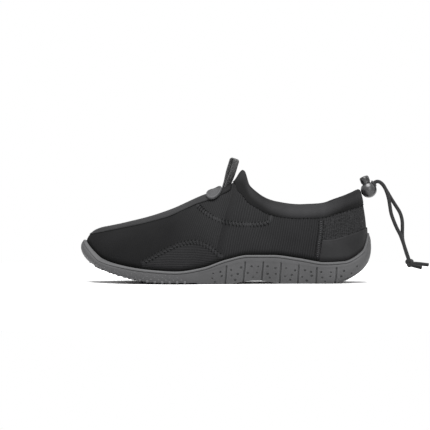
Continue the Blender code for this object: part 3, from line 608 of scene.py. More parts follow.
# Seams, as distance from the back of the heel and height, seen from the side
INSTEP_SEAM = ((0.1715, 0.0768), (0.1696, 0.0748), (0.1627, 0.0687), (0.1499, 0.0621),
               (0.1341, 0.0590), (0.1202, 0.0582), (0.1084, 0.0592), (0.1015, 0.0618),
               (0.0997, 0.0655))
INSET_SEAM = ((0.2259, 0.0215), (0.2166, 0.0262), (0.2082, 0.0311), (0.1933, 0.0380),
              (0.1825, 0.0408), (0.1726, 0.0413), (0.1617, 0.0371), (0.1533, 0.0308),
              (0.1479, 0.0268))
HEEL_SEAM = ((0.0511, 0.0628), (0.0515, 0.0519), (0.0531, 0.0400), (0.0549, 0.0245))

seam_lines, seam_trees = {}, {}
for side in (LATERAL, MEDIAL):
    for name, points in (("instep", INSTEP_SEAM), ("inset", INSET_SEAM), ("heel", HEEL_SEAM)):
        line = face_line(side, points, SEAM_PACE)
        tree = KDTree(len(line))
        for k, spot in enumerate(line):
            tree.insert(spot[0], k)
        tree.balance()
        seam_lines[side, name], seam_trees[side, name] = line, tree


def nearness(side, name, point):
    """Distance from a point to a seam."""
    return seam_trees[side, name].find(point)[2]


def clamp(value):
    """A value kept between 0 and 1."""
    return min(max(value, 0), 1)


def swell(distance, half):
    """1 on a line, falling softly to 0 at a distance of half."""
    s = min(abs(distance) / half, 1)
    return (1 - s * s) ** 2


RIM_HEIGHT = 0.049
# Height over the sole's rim in which the painted shade fades out
FOOT_SHADE = 0.0055

# Side of the sole: rim is a share of RIM_HEIGHT; edge, high and low are shares of HEEL_STACK, and
# turn is a share of the height of the side.
SIDE_COLUMNS = ("station", "rim", "edge", "high", "low", "turn")
SIDE = (
    (0.0, 1.000, 0.31, 0.37, 1.23, 0.20),
    (1.0, 0.670, 0.30, 0.34, 1.00, 0.22),
    (2.0, 0.460, 0.25, 0.22, 0.55, 0.28),
    (3.0, 0.440, 0.20, 0.12, 0.25, 0.33),
    (4.0, 0.520, 0.15, 0.08, 0.18, 0.33),
    (5.0, 0.580, 0.12, 0.08, 0.16, 0.33),
    (6.0, 0.580, 0.12, 0.08, 0.16, 0.33),
    (7.0, 0.486, 0.12, 0.08, 0.16, 0.33),
    (8.0, 0.335, 0.12, 0.07, 0.15, 0.33),
    (9.0, 0.261, 0.12, 0.06, 0.14, 0.33),
    (10.0, 0.292, 0.12, 0.08, 0.16, 0.33),
    (11.0, 0.367, 0.11, 0.22, 0.34, 0.32),
    (12.0, 0.500, 0.10, 0.56, 0.80, 0.25),
    (13.0, 0.849, 0.08, 0.69, 1.08, 0.20),
)


def wall(name, station):
    return read(SIDE, SIDE_COLUMNS, name, station)


def foot_shade(station, point):
    """Painted shade: 1 where the cloth goes down behind the sole's rim, falling to 0 a little above
    it.
    """
    return clamp(1 - (point.z - wall("rim", station) * RIM_HEIGHT) / FOOT_SHADE)


# Creases and stretch of the upper: station and level of the middle, half lengths along both, turn
# of the crease in stations over a full level, and depth (a ridge is negative).
CREASES = (
    (7.35, 0.52, 0.34, 0.42, 0.9, 0.0010),
    (7.95, 0.60, 0.30, 0.34, 0.9, -0.0006),
    (8.75, 0.62, 0.28, 0.30, -0.6, 0.0006),
    (9.40, 0.55, 0.22, 0.33, -0.9, 0.0005),
    (9.90, 0.60, 0.20, 0.30, -0.9, 0.0004),
    (6.30, 0.46, 0.34, 0.26, 1.2, -0.0006),
    (5.40, 0.50, 0.50, 0.20, 1.0, 0.0006),
    (4.40, 0.60, 0.50, 0.18, 0.6, -0.0005),
    (3.55, 0.35, 0.34, 0.24, 0.3, 0.0006),
    (2.20, 0.62, 0.50, 0.16, 0.2, 0.0007),
    (1.10, 0.52, 0.60, 0.14, 0.1, 0.0005),
    (11.2, 0.42, 0.80, 0.22, 0.0, -0.0004),
)


def crease_depth(station, level):
    total = 0.0
    for centre, height, wide, tall, turn, depth in CREASES:
        across = (level - height) / tall
        if abs(across) < 1:
            along = (station - centre - turn * (level - height)) / wide
            if abs(along) < 1:
                total += depth * (1 - along * along) ** 2 * (1 - across * across) ** 2
    return total


def upper_relief(side, station, level, point):
    """Height of the upper's face over its plain form: creases, seams and the edge of the band."""
    nearest = min(nearness(side, "instep", point), nearness(side, "inset", point))
    heel = nearness(side, "heel", point)
    lift = -crease_depth(station, level)
    lift += SEAM_LIFT * (swell(nearest, SEAM_HALF) - 0.45 * swell(nearest, SEAM_HALF * 0.3))
    lift -= SEAM_TRENCH * swell(nearest - SEAM_HALF * 1.25, SEAM_HALF * 0.6)
    lift += HEEL_SEAM_LIFT * (swell(heel, HEEL_SEAM_HALF) - 0.9 * swell(heel, 0.0007))
    lift -= BAND_TRENCH * swell(level_distance(side, station, level), BAND_TRENCH_HALF)
    return lift


def level_distance(side, station, level):
    """Rough distance from the seam under the binding."""
    return abs(seam_cache(side, station) - level) * 0.075 if station < BAND_END else 1.0


@lru_cache(maxsize=None)
def seam_cache(side, station):
    return seam_level(side, station)


def cloth_kind(side, station, level, point):
    """How far the cloth is ribbed, is the inset's, is the heel's coarse knit, and its painted
    shade: shade by the sole's rim, a painted highlight along the seams.
    """
    along = HEEL_REST - point.x
    heel_line = HEEL_SEAM[0][0] + (HEEL_SEAM[0][1] - point.z) * 0.1
    coarse = clamp((heel_line - along) / CLOTH_EDGE)
    arch = 0.0
    if INSET_SEAM[-1][0] < along < INSET_SEAM[0][0]:
        spots = seam_lines[side, "inset"]
        nearest = min(spots, key=lambda spot: abs(spot[0].x - point.x))
        arch = clamp((nearest[0].z - point.z) / CLOTH_EDGE)
    ribbed = clamp(max((RIB_END - along) / RIB_FADE, RIB_LEAST))
    nearest = min(nearness(side, "instep", point), nearness(side, "inset", point))
    # Painted shade by the sole's rim, less a painted highlight along the raised seams
    shade = foot_shade(station, point) - 0.75 * swell(nearest, SEAM_HALF * 0.9)
    return ribbed, arch, coarse, shade


def sheet_over(name, stations, low, high, face, back, finish, relief=None, kind=None, lean=None):
    """A closed sheet over both sides of the upper between two levels. face and back hold rows of
    the share from the low edge to the high one and the distance outside the upper's plain face.
    relief lifts the face, kind fills the cloth's fields and lean turns the low edge's normal."""
    build = bmesh.new()
    layers = [build.verts.layers.float.new(title) for title in CLOTH_FIELDS]
    layer = build.loops.layers.uv.verify()
    steps = len(face) - 1
    section = list(face) + list(back)[::-1]
    for side in (LATERAL, MEDIAL):
        rows, places, ridge = [], [], []
        walked, last = 0.0, None
        for station in stations:
            start, end = low(side, station), high(side, station)
            ridge.append(station >= THROAT and end > 0.999)
            row, spots = [], []
            middle = skin_point(side, station, (start + end) / 2)
            walked += (middle - last).length if last else 0
            last = middle
            climbed, below = 0.0, None
            for k, (share, out) in enumerate(section):
                level = start + (end - start) * share
                normal = skin_normal(side, station, level)
                if end - start < SHEET_THIN:
                    out = section[steps // 2 if k <= steps else steps + len(back) // 2][1]
                elif ridge[-1] and share == 1:
                    out = section[steps - 1 if k <= steps else steps + 2][1]
                elif lean and share == 0:
                    normal = lean(side, station)
                point = skin_point(side, station, level)
                lift = relief(side, station, level, point) if relief and k <= steps else 0
                climbed += (point - below).length if below else 0
                below = point
                vert = build.verts.new(point + normal * (out + lift))
                if kind and k <= steps:
                    for title, value in zip(layers, kind(side, station, level, point)):
                        vert[title] = value
                row.append(vert)
                spots.append((walked * side, climbed))
            rows.append(row)
            places.append(spots)
        for k in range(len(rows) - 1):
            for m in range(len(section)):
                if m == steps and ridge[k] and ridge[k + 1]:
                    continue
                after = (m + 1) % len(section)
                corners = [(k, m), (k, after), (k + 1, after), (k + 1, m)]
                if side == MEDIAL:
                    corners.reverse()
                made = build.faces.new([rows[a][b] for a, b in corners])
                for loop, (a, b) in zip(made.loops, corners):
                    loop[layer].uv = places[a][b]
        for row, first, ends in ((rows[0], True, stations[0] > 0),
                                 (rows[-1], False, stations[-1] < TOE)):
            outer, inner = row[:steps + 1], row[steps + 1:][::-1]
            inner = [inner[round(m * (len(inner) - 1) / steps)] for m in range(steps + 1)]
            for m in range(steps if ends else 0):
                corners = [outer[m], inner[m], inner[m + 1], outer[m + 1]]
                corners = [v for n, v in enumerate(corners) if v not in corners[:n]]
                if (side == MEDIAL) != first:
                    corners.reverse()
                build.faces.new(corners)
    weld(build, SHEET_WELD, SHEET_THIN)
    return keep_mesh(name, build, finish, sharp=50)


def cloth_finish(name, colour, shine=0.04):
    """Jersey over neoprene: upright ribs on the quarter, level ribs in the inset and coarse knit
    at the heel. Its shade field paints shade, and a painted highlight along the seams."""
    finish = Finish(name, colour, 0.86, Sheen_Weight=0.01, Sheen_Roughness=0.5,
                    Specular_IOR_Level=shine)
    around, up = finish.flat()
    drift = finish.times(finish.noise(60.0), 0.0012)
    upright = finish.wave(finish.plus(around, drift), RIB_PITCH)
    level = finish.wave(finish.plus(up, drift), INSET_PITCH)
    ribbed, inset, coarse, shade = (finish.field(title) for title in CLOTH_FIELDS)
    ribs = finish.times(finish.times(upright, ribbed), finish.less(1.0, inset))
    ribs = finish.plus(ribs, finish.times(level, inset))
    knit = finish.times(finish.cells(420.0), coarse)
    first = finish.bump(finish.cells(900.0), 0.00012)
    second = finish.bump(ribs, 0.00022, Normal=first)
    finish.bump(knit, 0.0009, Normal=second)
    cloud = finish.noise(28.0, 4.0, 0.6)
    open_knit = finish.math("MAXIMUM", finish.math("MAXIMUM", ribbed, inset), coarse)
    tone = finish.plus(finish.times(ribs, 0.16), finish.times(cloud, 0.3))
    tone = finish.plus(finish.plus(tone, finish.times(open_knit, 0.45)), finish.times(knit, 0.4))
    tone = finish.ramp(tone, 0.05, 1.0, 0.5, 3.0)
    # Painted shade and highlight: the shade field scales the colour down, and up where it is
    # negative
    shade = finish.less(1.0, finish.times(shade, 0.96))
    finish.paint(finish.add("VectorMath", operation="SCALE", input0=tone, Scale=shade))
    finish.gloss(cloud, 0.78, 0.95)
    return finish.made


def to_top(side, station):
    return 1.0


# Stations of the sections, closer together behind the throat
FINE = sorted({round(s, 4) for s in [0.05 * k for k in range(261)]
               + [THROAT + 0.02 * k for k in range(1, 25)]})
neoprene = cloth_finish("neoprene_jersey", NEOPRENE_COLOUR)
upper_face = [(k / 56, 0.0) for k in range(57)]
upper_back = [(k / 10, -UPPER_WALL) for k in range(11)]
upper = sheet_over("neoprene_upper", FINE, lambda side, station: 0.0, seam_cache, upper_face,
                   upper_back, neoprene, upper_relief, cloth_kind)
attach(upper, "shoe")
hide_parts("upper")

# Collar binding
# A rolled band of the same stretch cloth around the opening, turned over a soft tape and the
# drawcord. Its middle carries a painted sheen; painted shade darkens its ends and edges.
BINDING_WALL = 0.0038
SEAM_SHIFT = -0.02
BAND_PROUD = 0.16 * BINDING_WALL
BAND_HEM = 0.0012
GATHER_END = 4.5
GATHER_DEPTH = 0.00022
# A base lighter than the upper's, so a painted sheen stays along the band's middle where band_shade
# leaves it
BINDING_COLOUR = (0.0250, 0.0250, 0.0260)

band_lines = [s for s in FINE if s <= BAND_END + SEAM_SHIFT]


def band_source(station):
    """Station whose seam the band follows: ahead of the throat, one a little behind it."""
    return round(station + SEAM_SHIFT, 4) if station > THROAT else station


def band_low(side, station):
    return seam_level(side, band_source(station), -BAND_HEM if station <= THROAT else 0.0)


def band_lean(side, station):
    source = band_source(station)
    return skin_normal(side, source, seam_cache(side, source))


def band_relief(side, station, level, point):
    """Small gathers where the drawcord pulls the band together, towards the heel."""
    pull = max(0.0, 1 - station / GATHER_END)
    return (GATHER_DEPTH * pull * sin(station * 21 + level * 3) + 0.0001 * sin(station * 9.1)
            - 0.0005 * max(0.0, 1 - station))


def band_shade(side, station, level, point):
    """Painted shade at the band's ends, low edge and top, leaving a painted sheen in its middle."""
    share = (level - band_low(side, station)) / max(1 - band_low(side, station), 0.001)
    ends = clamp((abs(station - 4) - 0.7) / 1.2)
    return 0.0, 0.0, 0.0, min(0.50 * ends + 0.60 * (1 - swell(share - 0.62, 0.66)), 0.85)


band_face, band_back = [], []
for k in range(15):
    share = k / 14
    roll = sqrt(max(0.0, 1 - (2 * share - 1) ** 4))
    band_face.append((share, BINDING_WALL * (0.07 + 0.22 * roll if share < 0.5 else
                                             -0.22 + 0.51 * roll)))
    band_back.append((share, -BINDING_WALL * (0.62 + 0.22 * roll)))
binding_finish = cloth_finish("binding_jersey", BINDING_COLOUR, 0.08)
binding = sheet_over("rolled_binding", band_lines, band_low, to_top, band_face, band_back,
                     binding_finish, band_relief, band_shade, band_lean)
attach(binding, "shoe")
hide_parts("collar_binding")

# Stitches
# Polyester thread, black but for one light row down the heel seam. A wide zigzag, whose bights sink
# into the jersey on both sides, runs along the quarter's and the inset's seams; the binding and the
# heel seam have plain rows.
STITCH_LENGTH = 0.0024
STITCH_RADIUS = 0.00042
STITCH_SIDES = 7
ZIGZAG_PITCH = 0.0034
ZIGZAG_HALF = 0.0018
ROW_PITCH = 0.0030
HEEL_SEAM_PITCH = 0.0018
HEEL_ROW_HALF = 0.0024
BAND_ROW_PITCH = 0.0037
BAND_ROW_DROP = 0.017
GREY_THREAD_COLOUR = (0.03, 0.03, 0.0312)


def stamp_tree():
    """Node tree that sets a shape on each point, with its Z along the point's normal vector and its
    X along the point's run vector, joins the copies and gives them one finish."""
    tree = bpy.data.node_groups.new("stamps", "GeometryNodeTree")
    for title, way, kind in (("Geometry", "INPUT", "Geometry"), ("Shape", "INPUT", "Object"),
                             ("Finish", "INPUT", "Material"), ("Geometry", "OUTPUT", "Geometry")):
        tree.interface.new_socket(title, in_out=way, socket_type="NodeSocket" + kind)
    nodes = {title: tree.nodes.new(kind) for title, kind in (
        ("start", "NodeGroupInput"), ("end", "NodeGroupOutput"),
        ("shape", "GeometryNodeObjectInfo"), ("turn", "FunctionNodeAxesToRotation"),
        ("stamp", "GeometryNodeInstanceOnPoints"), ("whole", "GeometryNodeRealizeInstances"),
        ("coat", "GeometryNodeSetMaterial"))}
    nodes["turn"].primary_axis = "Z"
    nodes["turn"].secondary_axis = "X"
    for title, kind in (("run", "FLOAT_VECTOR"), ("normal_way", "FLOAT_VECTOR"), ("size", "FLOAT")):
        nodes[title] = tree.nodes.new("GeometryNodeInputNamedAttribute")
        nodes[title].data_type = kind
        nodes[title].inputs["Name"].default_value = title
    for near, out, far, into in (
            ("start", "Shape", "shape", "Object"), ("start", "Geometry", "stamp", "Points"),
            ("normal_way", "Attribute", "turn", "Primary Axis"),
            ("run", "Attribute", "turn", "Secondary Axis"),
            ("shape", "Geometry", "stamp", "Instance"), ("turn", "Rotation", "stamp", "Rotation"),
            ("size", "Attribute", "stamp", "Scale"), ("stamp", "Instances", "whole", "Geometry"),
            ("whole", "Geometry", "coat", "Geometry"), ("start", "Finish", "coat", "Material"),
            ("coat", "Geometry", "end", "Geometry")):
        tree.links.new(nodes[near].outputs[out], nodes[far].inputs[into])
    return tree


def settle(made):
    """Puts what a piece's modifiers make in the place of its mesh."""
    bpy.context.view_layer.update()
    graph = bpy.context.evaluated_depsgraph_get()
    result = bpy.data.meshes.new_from_object(made.evaluated_get(graph))
    made.modifiers.clear()
    made.data = result


stamps = stamp_tree()


def stamp(name, spots, shape, finish):
    """A piece made of a shape set on spots: point, run, normal and size of each."""
    mesh = bpy.data.meshes.new(name)
    mesh.from_pydata([spot[0] for spot in spots], [], [])
    for title, index in (("run", 1), ("normal_way", 2)):
        field = mesh.attributes.new(title, "FLOAT_VECTOR", "POINT")
        field.data.foreach_set("vector", [value for spot in spots for value in spot[index]])
    field = mesh.attributes.new("size", "FLOAT", "POINT")
    field.data.foreach_set("value", [spot[3] for spot in spots])
    made = put(name, mesh)
    modifier = made.modifiers.new("stamps", "NODES")
    modifier.node_group = stamps
    values = {"Shape": shape, "Finish": finish}
    for item in stamps.interface.items_tree:
        if item.in_out == "INPUT" and item.name in values:
            modifier[item.identifier] = values[item.name]
    settle(made)
    made.data.shade_smooth()
    return made


def lathe_shape(name, profile, around):
    """A small shape turned about Z from radius and height pairs, to be stamped."""
    build = bmesh.new()
    add_faces(build, [[Vector((r * c, r * s, z)) for c, s in circle(around)] for r, z in profile])
    weld(build, 1e-7, fill=True)
    return keep_mesh(name, build, cord_finish)


def thread_shape(name, length, radius):
    """One stitch: a short bowed thread that dips into the cloth at both ends."""
    build = bmesh.new()
    rows = []
    for k in range(7):
        bow = sin(pi * k / 6)
        centre = Vector(((k / 6 - 0.5) * length, 0, radius * (1.1 * bow - 0.5)))
        rows.append([centre + Vector((0, c, s)) * (radius * (0.45 + 0.55 * bow))
                     for c, s in circle(STITCH_SIDES)])
    add_faces(build, rows, capped=True)
    weld(build)
    return keep_mesh(name, build, cord_finish)


def stitches_along(line, pitch, offset, slant, lift, size=1.0, trim=0.002):
    """Spots of stitches beside a line on the face; offset is sideways, slant turns each one."""
    spots = []
    length = run_length([spot[0] for spot in line])
    walked, wanted = 0.0, trim
    for (near, near_normal), (far, far_normal) in zip(line, line[1:]):
        step = (far - near).length
        while walked + step >= wanted and wanted < length - trim:
            share = (wanted - walked) / step
            normal = near_normal.lerp(far_normal, share).normalized()
            run = (far - near).normalized()
            across = normal.cross(run).normalized()
            point = near.lerp(far, share) + across * offset + normal * lift
            turned = (run * cos(slant) + across * sin(slant)).normalized()
            spots.append((point, turned, normal, size))
            wanted += pitch
        walked += step
    return spots


def thread_finish(name, colour, shine, dark, light):
    """Twisted polyester thread."""
    finish = Finish(name, colour, 0.8, Specular_IOR_Level=shine)
    twist = finish.add("TexWave", 1, Vector=finish.place(), Scale=900.0,
                       bands_direction="DIAGONAL")
    finish.bump(twist, 0.00005)
    finish.paint(finish.ramp(twist, 0.2, 0.8, dark, light))
    return finish.made


black_thread = thread_finish("black_thread", THREAD_COLOUR, 0.08, 0.7, 1.5)
grey_thread = thread_finish("grey_thread", GREY_THREAD_COLOUR, 0.1, 2 / 3, 5 / 3)
one_stitch = thread_shape("one_stitch", STITCH_LENGTH, STITCH_RADIUS)
zigzag, plain_rows, light_row = [], [], []
for side in (LATERAL, MEDIAL):
    for name in ("instep", "inset"):
        for offset, slant, lift, size, trim in (
                (ZIGZAG_HALF, 52, 0.00012, 1.0, 0.002), (-ZIGZAG_HALF, -52, 0.00012, 1.0, 0.0037),
                (0.0, 60, 0.00030, 0.7, 0.0028)):
            zigzag += stitches_along(seam_lines[side, name], ZIGZAG_PITCH, offset, radians(slant),
                                     lift, size, trim)
    line = seam_lines[side, "heel"]
    for offset in (-HEEL_ROW_HALF, HEEL_ROW_HALF):
        plain_rows += stitches_along(line, ROW_PITCH, offset, radians(12), 0.00008, 0.9)
    light_row += stitches_along(line, HEEL_SEAM_PITCH, 0.0, radians(78), 0.00018, 0.85)
    band_edge = on_face(side, [(s, seam_cache(side, s) - BAND_ROW_DROP) for s in FINE
                               if s <= THROAT - 0.1])
    plain_rows += stitches_along(band_edge, BAND_ROW_PITCH, 0.0, radians(34), 0.0, 0.95, 0.001)
stitched = [stamp("zigzag_stitches", zigzag, one_stitch, black_thread),
            stamp("plain_stitches", plain_rows, one_stitch, black_thread),
            stamp("heel_seam_stitches", light_row, one_stitch, grey_thread)]
bpy.data.objects.remove(one_stitch)
for piece in stitched:
    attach(piece, "shoe")

# Vamp panel
# A thin rubberised stretch panel laid over the ridge from the badge to the toe and bonded at its
# edges. It is a shade lighter and smoother than the jersey beside it.
PANEL_WIDTH = 0.046
PANEL_THICK = 0.0012
PANEL_EDGE = 0.05
PANEL_COLOUR = (0.0115, 0.0115, 0.012)
PANEL_START = BAND_END + 0.08
BADGE_STATION = 8.35


@lru_cache(maxsize=None)
def panel_level(side, station):
    return level_below_top(side, station, top("panel", station) * PANEL_WIDTH)


def rolled(share, edge, thin):
    """Thickness of a sheet with a round edge, from thin at the edge to 1 at a share of edge."""
    return thin + (1 - thin) * sqrt(1 - (1 - min(share / edge, 1)) ** 2)


panel_lines = [PANEL_START] + [s for s in FINE if s > PANEL_START + 0.03]
panel_face = [(k / 24, SEAT_GAP + PANEL_THICK * rolled(k / 24, PANEL_EDGE, 0.25)
               - 0.00022 * swell(k / 24 - 0.22, 0.07)) for k in range(25)]
panel_back = [(k / 4, SEAT_GAP) for k in range(5)]


def panel_finish(name, colour):
    """Coated stretch cloth with a fine grain, shaded by its field."""
    finish = Finish(name, colour, 0.7, Specular_IOR_Level=0.10)
    finish.bump(finish.cells(700.0), 0.0001)
    cloud = finish.noise(35.0, 4.0)
    finish.paint(finish.ramp(finish.less(cloud, finish.field("shade")), 0.0, 0.75, 0.4, 1.45))
    finish.gloss(cloud, 0.6, 0.8)
    return finish.made


def panel_relief(side, station, level, point):
    """The panel is skived thin towards its end at the toe."""
    share = (level - panel_level(side, station)) / max(1 - panel_level(side, station), 0.001)
    return -0.8 * PANEL_THICK * clamp((station - 11.6) / 1.2) * min(share / PANEL_EDGE, 1)


def behind_badge(side, station, level, point):
    """The panel is left black between the badge and the throat, under the foot of the loop."""
    return 0.0, 0.0, 0.0, clamp((BADGE_STATION - station) / 0.1)


vamp = sheet_over("vamp_cover", panel_lines, panel_level, to_top, panel_face, panel_back,
                  panel_finish("rubberised_panel", PANEL_COLOUR), panel_relief, behind_badge)
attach(vamp, "shoe")
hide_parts("vamp_panel")

# Outsole
# One moulding of grey rubber: a cup with a thin lip, grooves down its sides and across its tread,
# three raised rings and rows of round studs under the forefoot, and small dimples between them.
RIM_WALL = 0.0020
LIP_HEIGHT = 0.0020
LIP_STEP = 0.0005
LIP_ROUND = 0.0005
LIP_TRENCH = 0.0006
TOE_SPRING = 0.0145
HEEL_BEVEL = 0.0100
ARCH_LIFT = 0.0060
TREAD_DEPTH = 0.0015
GROOVE_PITCH = 0.0178
GROOVE_WIDTH = 0.0018
GROOVE_DEPTH = 0.0012
GROOVE_COUNT = 7
GROOVE_START = 0.0382
GROOVE_SWING = 0.006
RING_WIDTH = 0.0026
RUBBER_COLOUR = (0.0345, 0.0345, 0.0355)
CUP_STEPS = 6
WALL_STEPS = 26
UNDER_STEPS = 34
# Row of the sole's texture places that holds the painted shadow line under the lip
LIP_SHADOW_ROW = 0.0132
TREAD_STEP = (0.594, 0.602)
SPRING_POWER = 1.7
LEAST_STEP = 0.004
UNDERCUT = 0.0003
UNDERCUT_END = 8.2

# Forefoot rings of the tread: rounded triangles with their point towards the toe. Each row holds
# along and across of the outermost ring, then of the innermost; along is a share of SOLE_LENGTH
# from the toe, across of BALL_WIDTH.
RING_COUNT = 3
RING_STEPS = 160
RING = (
    (0.055, 0.12, 0.118, 0.06), (0.072, 0.20, 0.146, 0.095), (0.190, 0.245, 0.229, 0.11),
    (0.312, 0.24, 0.290, 0.115), (0.380, 0.19, 0.316, 0.09), (0.385, 0.09, 0.316, 0.03),
    (0.354, -0.05, 0.305, -0.06), (0.345, -0.15, 0.300, -0.14), (0.360, -0.27, 0.302, -0.20),
    (0.337, -0.33, 0.286, -0.23), (0.250, -0.24, 0.236, -0.18), (0.156, -0.10, 0.181, -0.09),
    (0.085, 0.03, 0.139, -0.01),
)


def station_at(along):
    """Station of the feather line at a distance from the back of the heel."""
    return bisect(0.0, TOE, 40, lambda station: form("along", station) * SOLE_LENGTH < along)


def ground(along, share):
    """Height of the sole's underside: share runs from -1 at the outer edge to 1 at the inner."""
    toe_start, toe_end, heel_start, heel_end, arch_start, arch_end, step_start, step_end = (
        share * SOLE_LENGTH for share in (0.722, 0.945, 0.140, 0.045, 0.290, 0.510, *TREAD_STEP))
    height = TREAD_DEPTH * clamp((along - step_start) / (step_end - step_start))
    if along > toe_start:
        height += TOE_SPRING * ((along - toe_start) / (toe_end - toe_start)) ** SPRING_POWER
    if along < heel_start:
        height += HEEL_BEVEL * ((heel_start - along) / (heel_start - heel_end)) ** SPRING_POWER
    if arch_start < along < arch_end:
        lift = sin(pi * (along - arch_start) / (arch_end - arch_start)) ** 2
        height += ARCH_LIFT * lift * (1 + 0.45 * share)
    return height


def edge_point(side, station):
    """Where the sole's side meets its underside."""
    foot = feather_point(side, station)
    edge = foot + outward(side, station) * (wall("edge", station) * HEEL_STACK)
    edge.z = ground(HEEL_REST - edge.x, side)
    return edge


def groove_share(along):
    """Depth of the grooves at a distance from the back of the heel, from 0 to 1."""
    nearest = round((along - GROOVE_START) / GROOVE_PITCH)
    if not 0 <= nearest < GROOVE_COUNT:
        return 0.0
    offset = abs(along - GROOVE_START - nearest * GROOVE_PITCH)
    return clamp((0.5 * GROOVE_WIDTH - offset) / (0.22 * GROOVE_WIDTH))


def rim_level(side, station, lift=0.0):
    """Level of the upper's face behind the sole's rim."""
    return level_at(side, station, wall("rim", station) * RIM_HEIGHT + lift)


@lru_cache(maxsize=None)
def side_curve(side, station):
    """The four control points of the sole's side at a station, from the rim down to the edge."""
    start = skin(side, station, rim_level(side, station), SEAT_GAP + RIM_WALL)
    edge = edge_point(side, station)
    out = outward(side, station) * HEEL_STACK
    turn = Vector((0, 0, wall("turn", station) * (start.z - edge.z)))
    return (start, start + out * wall("high", station) - turn,
            edge + out * wall("low", station) + turn, edge)


def heel_fade(along):
    """0 at the back of the heel, where the grooves run straight, and 1 further on."""
    return clamp((along - 0.07 * SOLE_LENGTH) / (0.06 * SOLE_LENGTH))


def sole_section(side, station):
    """Half of the sole's section, from the middle of the cup out, over the rim and back under."""
    rim = rim_level(side, station)
    corners = []
    for each in (LATERAL, MEDIAL):
        corner = skin(each, station, 0, SEAT_GAP)
        corner.z = min(corner.z, feather_point(each, station).z - SEAT_GAP)
        corners.append(corner)
    cup = [corners[0] if side == LATERAL else corners[1]]
    cup += [skin(side, station, rim * k / CUP_STEPS, SEAT_GAP) for k in range(1, CUP_STEPS + 1)]
    centre = (corners[0] + corners[1]) / 2
    bed = [centre, cup[0].lerp(centre, 0.4)]
    out = outward(side, station)
    curve = side_curve(side, station)
    edge = curve[3]
    lip = min(LIP_HEIGHT / (curve[0].z - edge.z), 0.25)
    cut = groove_share(form("along", station) * SOLE_LENGTH)
    face = []
    for s in (0.0, 0.3 * lip, 0.7 * lip, lip, lip * 1.12, lip * 1.3):
        rounded = LIP_ROUND * (1 - min(s / (0.35 * lip), 1)) ** 2
        step = LIP_STEP * clamp((s - 0.95 * lip) / (0.2 * lip))
        step += LIP_TRENCH * swell(s - lip * 1.12, lip * 0.17)
        face.append(bezier(*curve, s) - out * (rounded + step))
    for k in range(1, WALL_STEPS):
        s = lip * 1.3 + (0.965 - lip * 1.3) * k / (WALL_STEPS - 1)
        below = clamp((s - 0.22) / 0.05)
        depth = LIP_STEP + GROOVE_DEPTH * cut * below + UNDERCUT * below * (station < UNDERCUT_END)
        face.append(bezier(*curve, s) - out * depth)
    middle = (edge_point(LATERAL, station) + edge_point(MEDIAL, station)) / 2
    under = []
    for k in range(UNDER_STEPS + 1):
        share = 0.02 + 0.98 * k / UNDER_STEPS
        point = edge.lerp(middle, share)
        along = HEEL_REST - point.x
        window = heel_fade(along) * clamp((0.62 * SOLE_LENGTH - along) / (0.08 * SOLE_LENGTH))
        along += -side * GROOVE_SWING * sin(pi * (1 - share)) * window
        under.append(place(along, point.y,
                           ground(along, side * (1 - share)) + GROOVE_DEPTH * cut))
    return bed + cup + face + under


sole_stations = set(FINE)
for k in range(GROOVE_COUNT):
    for offset in (-0.5, -0.4, -0.28, 0.0, 0.28, 0.4, 0.5):
        sole_stations.add(station_at(GROOVE_START + GROOVE_PITCH * k + offset * GROOVE_WIDTH))
for share in TREAD_STEP:
    sole_stations.add(station_at(share * SOLE_LENGTH))
sole_stations = sorted(sole_stations)
sole_stations = [s for k, s in enumerate(sole_stations)
                 if not k or s - sole_stations[k - 1] > LEAST_STEP]

build = bmesh.new()
for side in (LATERAL, MEDIAL):
    rows = [sole_section(side, station) for station in sole_stations]
    places = [[(station * 0.022 * side, m * 0.001) for m in range(len(rows[0]))]
              for station in sole_stations]
    add_faces(build, rows, closed=False, flip=side == MEDIAL, places=places)
weld(build, SHEET_WELD, SHEET_THIN)


def rubber_finish(name, colour):
    """Matt moulded rubber with a fine grain, lighter on its outward edges, with painted shade in
    its hollows and a painted shadow line under its lip.
    """
    finish = Finish(name, colour, 0.7, Specular_IOR_Level=0.3)
    grain = finish.bump(finish.noise(1400.0, 3.0, 0.6), 0.00008)
    finish.bump(finish.cells(260.0), 0.00010, 0.5, Normal=grain)
    cloud = finish.noise(24.0, 5.0, 0.6)
    # Pointiness: lighter on outward edges and darker in hollows, where the darkening is painted
    # shade
    edge = finish.add("NewGeometry", "Pointiness")
    tone = finish.plus(finish.times(cloud, 0.55), finish.times(finish.less(edge, 0.5), 3.0))
    # Painted shadow: a dark line along the trench under the lip
    off = finish.math("ABSOLUTE", finish.less(finish.flat()[1], LIP_SHADOW_ROW), 0.0)
    line = finish.math("MAXIMUM", finish.less(1.0, finish.times(off, 1 / 0.0011)), 0.0)
    tone = finish.less(finish.plus(tone, 0.2), finish.times(line, 0.6))
    finish.paint(finish.ramp(tone, 0.0, 0.85, 0.25, 1.5))
    finish.gloss(cloud, 0.55, 0.78)
    return finish.made


rubber = rubber_finish("moulded_rubber", RUBBER_COLOUR)
outsole = keep_mesh("rubber_outsole", build, rubber, sharp=38)


def side_point(side, station, share):
    """A point of the sole's side below the lip; share runs from the rim down."""
    depth = LIP_STEP + UNDERCUT * (station < UNDERCUT_END)
    return bezier(*side_curve(side, station), share) - outward(side, station) * depth


def side_spot(side, along, share):
    """A point of the sole's side at a distance from the heel, with its run and outward normal."""
    station = station_at(along)
    step = 0.03
    run = (side_point(side, min(station + step, TOE), share)
           - side_point(side, max(station - step, 0), share))
    down = side_point(side, station, min(share + step, 1)) - side_point(side, station, share - step)
    normal = down.cross(run) * side
    if normal.dot(outward(side, station)) < 0:
        normal = -normal
    return side_point(side, station, share), run.normalized(), normal.normalized()


def under_spot(along, across, share, size, lift=0.0):
    """A spot of the sole's underside, facing down."""
    return (place(along, across, ground(along, share) + lift), Vector((1, 0, 0)),
            Vector((0, 0, -1)), size)


